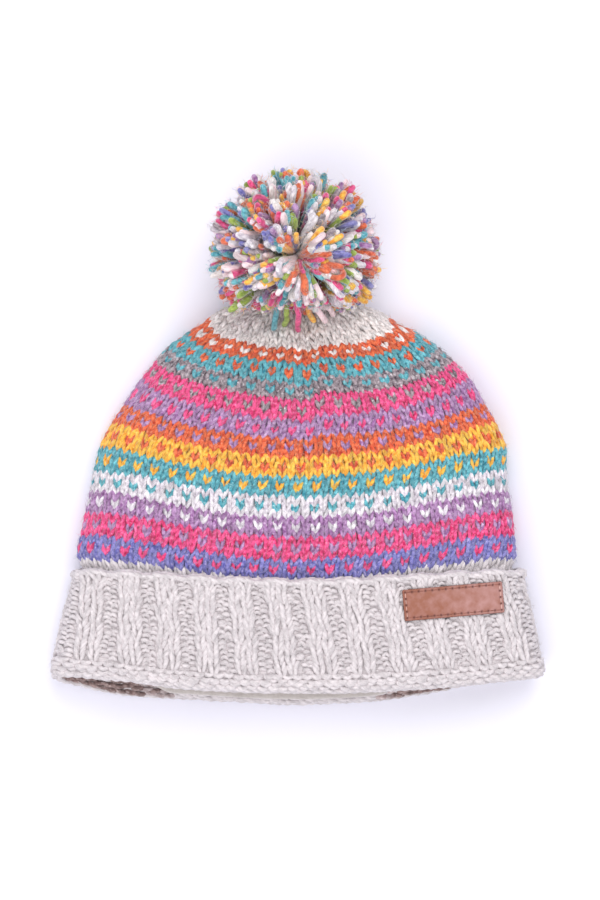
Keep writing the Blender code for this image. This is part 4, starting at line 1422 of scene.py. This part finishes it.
# The cut yarn takes strong painted shade towards each strand's root, deep inside the ball.
STRAND_WOOLS = {
    name: wool(
        f"{name} cut yarn", DYES[name][0], DYES[name][1], fleck=0.3,
        fleck_colour=paler(DYES[name][0], 0.4), twist=30.0, relief=0.8, under=0.0, root=0.84, sheen=0.8,
    )
    for name in POMPOM_SHARES
}
STRAND_SIDES = 7
pom_slots = strand_colours(strand_tips)
face_segment = np.concatenate([
    np.repeat(np.arange(STRAND_POINTS - 1), STRAND_SIDES), np.tile([0, STRAND_POINTS - 2], STRAND_SIDES),
])
other_slots = chance.permutation(pom_slots)
two_coloured = chance.random(len(strands)) < TWO_COLOURED
changes_at = np.where(two_coloured, chance.integers(3, 6, len(strands)), STRAND_POINTS)
strand_face_slots = np.where(
    face_segment[None] >= changes_at[:, None], other_slots[:, None], pom_slots[:, None]
).ravel()
thickness = np.array((0.80, 0.90, 0.96, 1.0, 1.04, 1.06, 0.76))
strand_radii = thickness[None] * STRAND_RADIUS * (1 + chance.normal(0, 0.09, (len(strands), 1)))
strand_radii = strand_radii * (1 + chance.normal(0, 0.06, strand_radii.shape))
sideways = unit(np.cross(strands[:, -1] - strands[:, 0], PARTING))
strand_ups = np.broadcast_to(sideways[:, None], strands.shape)
pom_mesh = yarn_mesh(
    "pom-pom strands", strands, strand_radii, strand_ups, STRAND_SIDES, strand_face_slots,
)
add_piece("pompom_strands", pom_mesh, list(STRAND_WOOLS.values()), ["pompom"])

# %% Long strands and loops
# Tips on the crown, where each strand leaves the ball, and its wool, in millimetres.
LONG_STRANDS = (
    (-12.9, 56.4, -6.5, 73.0, "teal"), (-7.2, 58.2, -4.0, 73.0, "moss"), (0.6, 55.2, -2.2, 72.0, "pink"),
    (8.9, 60.6, 1.5, 74.0, "yellow"), (14.6, 60.2, 4.5, 76.0, "blush"), (19.0, 64.0, 8.5, 77.0, "blush"),
    (11.6, 64.6, 5.5, 77.0, "ivory"),
)
SLACK = 1.4 * MM  # how far a long strand waves off its curve


def hanging_strands():
    """The few strands that escaped the scissors: out of the ball, and down on to the crown."""
    t = STRAND_STEPS[:, None]
    paths = []
    for number, (tip_x, tip_y, out_x, out_y, _) in enumerate(LONG_STRANDS):
        tip = np.array([tip_x, tip_y, 0]) * MM
        hit = cover.ray_cast(Vector((*tip[:2], 0.1)), Vector((0, 0, -1)), 0.1)
        tip[2] = (hit[0].z if hit[0] is not None else 28 * MM) + 0.8 * MM
        start = POMPOM_CENTRE + np.array([0.2 * out_x, -8, 24]) * MM
        leave = np.array([out_x, out_y - 3, 78]) * MM
        land = (leave * 0.25 + tip * 0.75) * np.array([1, 1, 0]) + np.array([0, 0, tip[2] + 3 * MM])
        early = start * (1 - t) ** 3 + leave * 3 * t * (1 - t) ** 2
        wave = SLACK * np.sin(2.4 * math.pi * t + 1.7 * number) * 4 * t * (1 - t)
        hang = early + land * 3 * t**2 * (1 - t) + tip * t**3
        paths.append(hang + wave * np.array([1.0, -0.6, 0.3]))
    return np.array(paths)


long_names = list(dict.fromkeys(row[4] for row in LONG_STRANDS))
long_wools = [wool(f"{n} long yarn", DYES[n][0], DYES[n][1], twist=30.0, under=0.0) for n in long_names]
long_slots = np.array([long_names.index(row[4]) for row in LONG_STRANDS])
long_paths = hanging_strands()
long_radii = thickness[None] * 0.96 * STRAND_RADIUS * np.ones((len(long_paths), 1))
long_ups = np.broadcast_to(np.array([0.0, 0.3, 1.0]), long_paths.shape)
long_mesh = yarn_mesh("long strands", long_paths, long_radii, long_ups, STRAND_SIDES, long_slots)
add_piece("pompom_long_strands", long_mesh, long_wools)

LOOP_POINTS = 13
LOOP_WIDTH, LOOP_FOOT, LOOP_RISE = 0.11, 0.56, 0.42
LOOPS = (
    (-0.46, 0.62, 0.64, "pink"), (0.70, 0.30, 0.64, "periwinkle"), (-0.70, -0.10, 0.70, "blush"),
    (0.25, 0.85, 0.45, "ivory"), (-0.20, -0.30, 0.93, "ivory"), (0.55, -0.35, 0.75, "orange"),
    (-0.85, 0.40, 0.20, "teal"), (0.30, 0.10, 0.95, "blush"), (-0.30, 0.20, -0.90, "moss"),
    (0.10, 0.95, 0.10, "yellow"), (0.90, 0.10, 0.10, "lilac"), (-0.50, 0.75, -0.35, "pink"),
)


def loop_paths():
    """Strands whose ends never got cut: up from the heart, over, and back down beside themselves."""
    phase = np.linspace(0, math.pi, LOOP_POINTS)[:, None]
    paths = []
    for x, y, z, _ in LOOPS:
        way = unit(np.array([x, y, z]))
        beside = unit(np.cross(way, chance.normal(0, 1, 3)))
        off = LOOP_WIDTH * np.cos(phase)
        lean = way * np.cos(off) + beside * np.sin(off)
        height = LOOP_FOOT + LOOP_RISE * np.sin(phase) ** 0.6
        paths.append(POMPOM_CENTRE + lean * POMPOM_RADIUS * height)
    return np.array(paths)


loop_names = list(dict.fromkeys(row[3] for row in LOOPS))
loop_slots = np.array([loop_names.index(row[3]) for row in LOOPS])
loops = loop_paths()
loop_ups = np.broadcast_to(np.array([0.21, 0.33, 0.92]), loops.shape)
loop_mesh = yarn_mesh(
    "pom-pom loops", loops, np.full(loops.shape[:2], STRAND_RADIUS), loop_ups, STRAND_SIDES, loop_slots
)
add_piece("pompom_loops", loop_mesh, [STRAND_WOOLS[n] for n in loop_names])

# %% [markdown]
# ## Halo
# Wool is never clean-edged: loose fibres stand off every yarn and soften its outline. Some 24,000
# hairs are enough to be felt. Each is a closed spindle of six triangles that starts inside the yarn and
# is bent where it is thickest. They lie scattered over the cloth and along the strands of the ball, in a
# paler shade of the yarn below.

# %% Loose fibres
HAIR_CORNERS = np.array((2, 3, 1, 3, 4, 1, 4, 2, 1, 3, 2, 0, 4, 3, 0, 2, 4, 0))
HAIR_TURN = np.array((0, 1, 0.5, 1, 2, 1.5, 2, 3, 2.5, 1, 0, 0.5, 2, 1, 1.5, 3, 2, 2.5)) / 3
HAIR_PLACE = np.array((1, 1, 2, 1, 1, 2, 1, 1, 2, 1, 1, 0, 1, 1, 0, 1, 1, 0))  # 0 root, 1 bend, 2 end


def hair_mesh(name, roots, bends, ends, radius, slots):
    """Each hair is a root, three corners round its bend, and an end."""
    count = len(roots)
    way = unit(ends - roots)
    first = unit(np.cross(way, chance.normal(0, 1, (count, 3))))
    second = np.cross(way, first)
    angles = 2 * math.pi * np.arange(3) / 3
    ring = bends[:, None] + radius * (
        first[:, None] * np.cos(angles)[None, :, None] + second[:, None] * np.sin(angles)[None, :, None]
    )
    points = np.concatenate([roots[:, None], ends[:, None], ring], axis=1).reshape(-1, 3)
    corners = (HAIR_CORNERS[None] + 5 * np.arange(count)[:, None]).ravel()
    lower, upper = (np.linalg.norm(a - b, axis=1) / MM for a, b in ((bends, roots), (ends, bends)))
    reach = np.stack([0 * lower, lower, lower + upper], axis=1)[:, HAIR_PLACE]
    uvs = np.stack([reach, np.broadcast_to(HAIR_TURN, reach.shape)], axis=2).reshape(-1, 2)
    sizes = np.full(6 * count, 3)
    tones = np.repeat(chance.random(count), 5)
    return build_mesh(name, above_table(points), corners, sizes, uvs, tones, np.repeat(slots, 6))


def halo_mesh(name, points, normals, length, rise, radius, slots):
    """Hairs that leave each point along the surface, bend once and lift a little."""
    count = len(points)
    way = chance.normal(0, 1, (count, 3))
    way = unit(way - normals * np.sum(way * normals, axis=1, keepdims=True))
    onward = unit(way + 0.6 * chance.normal(0, 1, (count, 3)))
    reach = length * chance.uniform(0.5, 1.3, (count, 1))
    roots = points - normals * 0.5 * MM
    bends = points + way * reach / 2 + normals * rise * chance.uniform(0.3, 1.0, (count, 1))
    ends = bends + onward * reach / 2 + normals * rise * chance.uniform(-0.3, 0.8, (count, 1))
    return hair_mesh(name, roots, bends, ends, radius, slots)


HALO_WOOLS = {
    name: wool(
        f"{name} loose fibre", paler(dye[0], 0.3), paler(dye[1], 0.4), relief=0.0, under=0.0, sheen=0.6
    )
    for name, dye in DYES.items()
}
CROWN_HAIRS, CUFF_HAIRS, POMPOM_HAIRS = 5000, 3000, 16000
YARN_TOP = 1.6 * MM
# Each: a hair's length, its rise and its radius.
CROWN_HAIR = (4.5 * MM, 0.9 * MM, 0.09 * MM)
CUFF_HAIR = (4.5 * MM, 1.1 * MM, 0.10 * MM)
POMPOM_HAIR = (4.8 * MM, 1.5 * MM, 0.125 * MM)
hair_u = chance.random(CROWN_HAIRS)
hair_v = chance.uniform(FIRST_ROW + 1, ROW_COUNT - 1, CROWN_HAIRS)
hair_at, hair_out = on_cloth(crown_grid, hair_u, hair_v, crown_stand(hair_u, hair_v) + YARN_TOP)
hair_band = np.searchsorted(row_starts, hair_v, side="right") - 1
hair_slots = np.array([names_of_shell.index(BANDS[b]) for b in hair_band])
crown_halo = halo_mesh("crown halo", hair_at, hair_out, *CROWN_HAIR, hair_slots)
add_piece("crown_halo", crown_halo, [HALO_WOOLS[n] for n in names_of_shell])

hair_u = chance.random(CUFF_HAIRS)
hair_v = chance.uniform(0.2, CUFF_ROWS - 0.2, CUFF_HAIRS)
hair_at, hair_out = on_cloth(cuff_grid, hair_u, hair_v, cuff_stand(hair_u, hair_v) + YARN_TOP)
off_x, off_y = (hair_at[:, 0] - TAG_X) / TAG_LENGTH, (hair_at[:, 1] - TAG_Y) / (2.2 * TAG_HEIGHT)
beside_tag = (np.hypot(off_x, off_y) > 0.66) | (hair_at[:, 2] < CREASE)
hair_at, hair_out = hair_at[beside_tag], hair_out[beside_tag]
hair_slots = np.zeros(len(hair_at), int)
cuff_halo = halo_mesh("cuff halo", hair_at, hair_out, *CUFF_HAIR, hair_slots)
add_piece("cuff_halo", cuff_halo, [HALO_WOOLS["cream"]])

picked = chance.integers(0, len(strands), POMPOM_HAIRS)
place = (STRAND_POINTS - 1) - 3.0 * chance.random(POMPOM_HAIRS)
low = np.minimum(np.floor(place).astype(int), STRAND_POINTS - 2)
part = (place - low)[:, None]
hair_at = strands[picked, low] * (1 - part) + strands[picked, low + 1] * part
strand_way = unit(strands[picked, low + 1] - strands[picked, low])
hair_out = unit(np.cross(strand_way, chance.normal(0, 1, (POMPOM_HAIRS, 3))))
hair_at = hair_at + hair_out * STRAND_RADIUS * 0.9
hair_slots = np.where(low >= changes_at[picked], other_slots[picked], pom_slots[picked])
pompom_halo = halo_mesh("pom-pom halo", hair_at, hair_out, *POMPOM_HAIR, hair_slots)
add_piece("pompom_halo", pompom_halo, [HALO_WOOLS[n] for n in POMPOM_SHARES])

# %% [markdown]
# ## Floor, light and camera
# The hat was photographed from straight above on a bright white sweep. The camera stands high up with
# a long lens, two large soft lights hang nearly overhead, and the room itself glows.

# %% Stage
FLOOR_REACH, FLOOR_Z = 3, -0.0004
PAPER, ROOM, ROOM_GLOW = (0.905, 0.895, 0.980, 1), (0.94, 0.95, 1.0, 1), 0.74
WARM = (1.0, 0.985, 0.965)
floor_mesh = bpy.data.meshes.new("sweep")
floor_mesh.from_pydata(
    [(x * FLOOR_REACH, y * FLOOR_REACH, FLOOR_Z) for x, y in ((-1, -1), (1, -1), (1, 1), (-1, 1))],
    [], [(0, 1, 2, 3)],
)
floor = bpy.data.objects.new("sweep", floor_mesh)
bpy.context.scene.collection.objects.link(floor)
floor_paper, _, floor_shader = new_material("white sweep", 0.9)
floor_shader.inputs["Base Color"].default_value = PAPER
floor_mesh.materials.append(floor_paper)


def area_light(name, place, size, power):
    """A round soft light that looks at the hat."""
    data = bpy.data.lights.new(name, "AREA")
    data.shape = "DISK"
    data.size = size
    data.energy = power
    data.color = WARM
    light = bpy.data.objects.new(name, data)
    light.location = place
    light.rotation_euler = (-Vector(place)).to_track_quat("-Z", "Y").to_euler()
    bpy.context.scene.collection.objects.link(light)


area_light("soft box", (0.30, 0.85, 1.5), 1.6, 14.5)
area_light("fill", (-0.55, -0.9, 1.5), 1.8, 13.5)
world = bpy.context.scene.world or bpy.data.worlds.new("room")
bpy.context.scene.world = world
world.use_nodes = True
background = world.node_tree.nodes["Background"].inputs
background["Color"].default_value = ROOM
background["Strength"].default_value = ROOM_GLOW

# %% Camera
LENS, SENSOR = 135.0, 36.0
PICTURE_HEIGHT = 900 * 0.525 * MM  # 900 pixels of 0.525 mm
PICTURE_MIDDLE = Vector((1.3 * MM, -6.6 * MM, 20 * MM))
CAMERA_TILT = math.radians(2.5)
distance = PICTURE_HEIGHT * LENS / SENSOR
camera_data = bpy.data.cameras.new("camera")
camera_data.lens = LENS
camera_data.sensor_width = SENSOR
camera = bpy.data.objects.new("camera", camera_data)
camera.location = PICTURE_MIDDLE + Vector((0, -math.sin(CAMERA_TILT), math.cos(CAMERA_TILT))) * distance
camera.rotation_euler = (CAMERA_TILT, 0, 0)
camera_data.clip_end = 20
bpy.context.scene.collection.objects.link(camera)
bpy.context.scene.camera = camera
bpy.context.scene.view_settings.view_transform = "Standard"

# %% Sizes, and the end
print("triangles in all:", sum(triangles_made.values()))
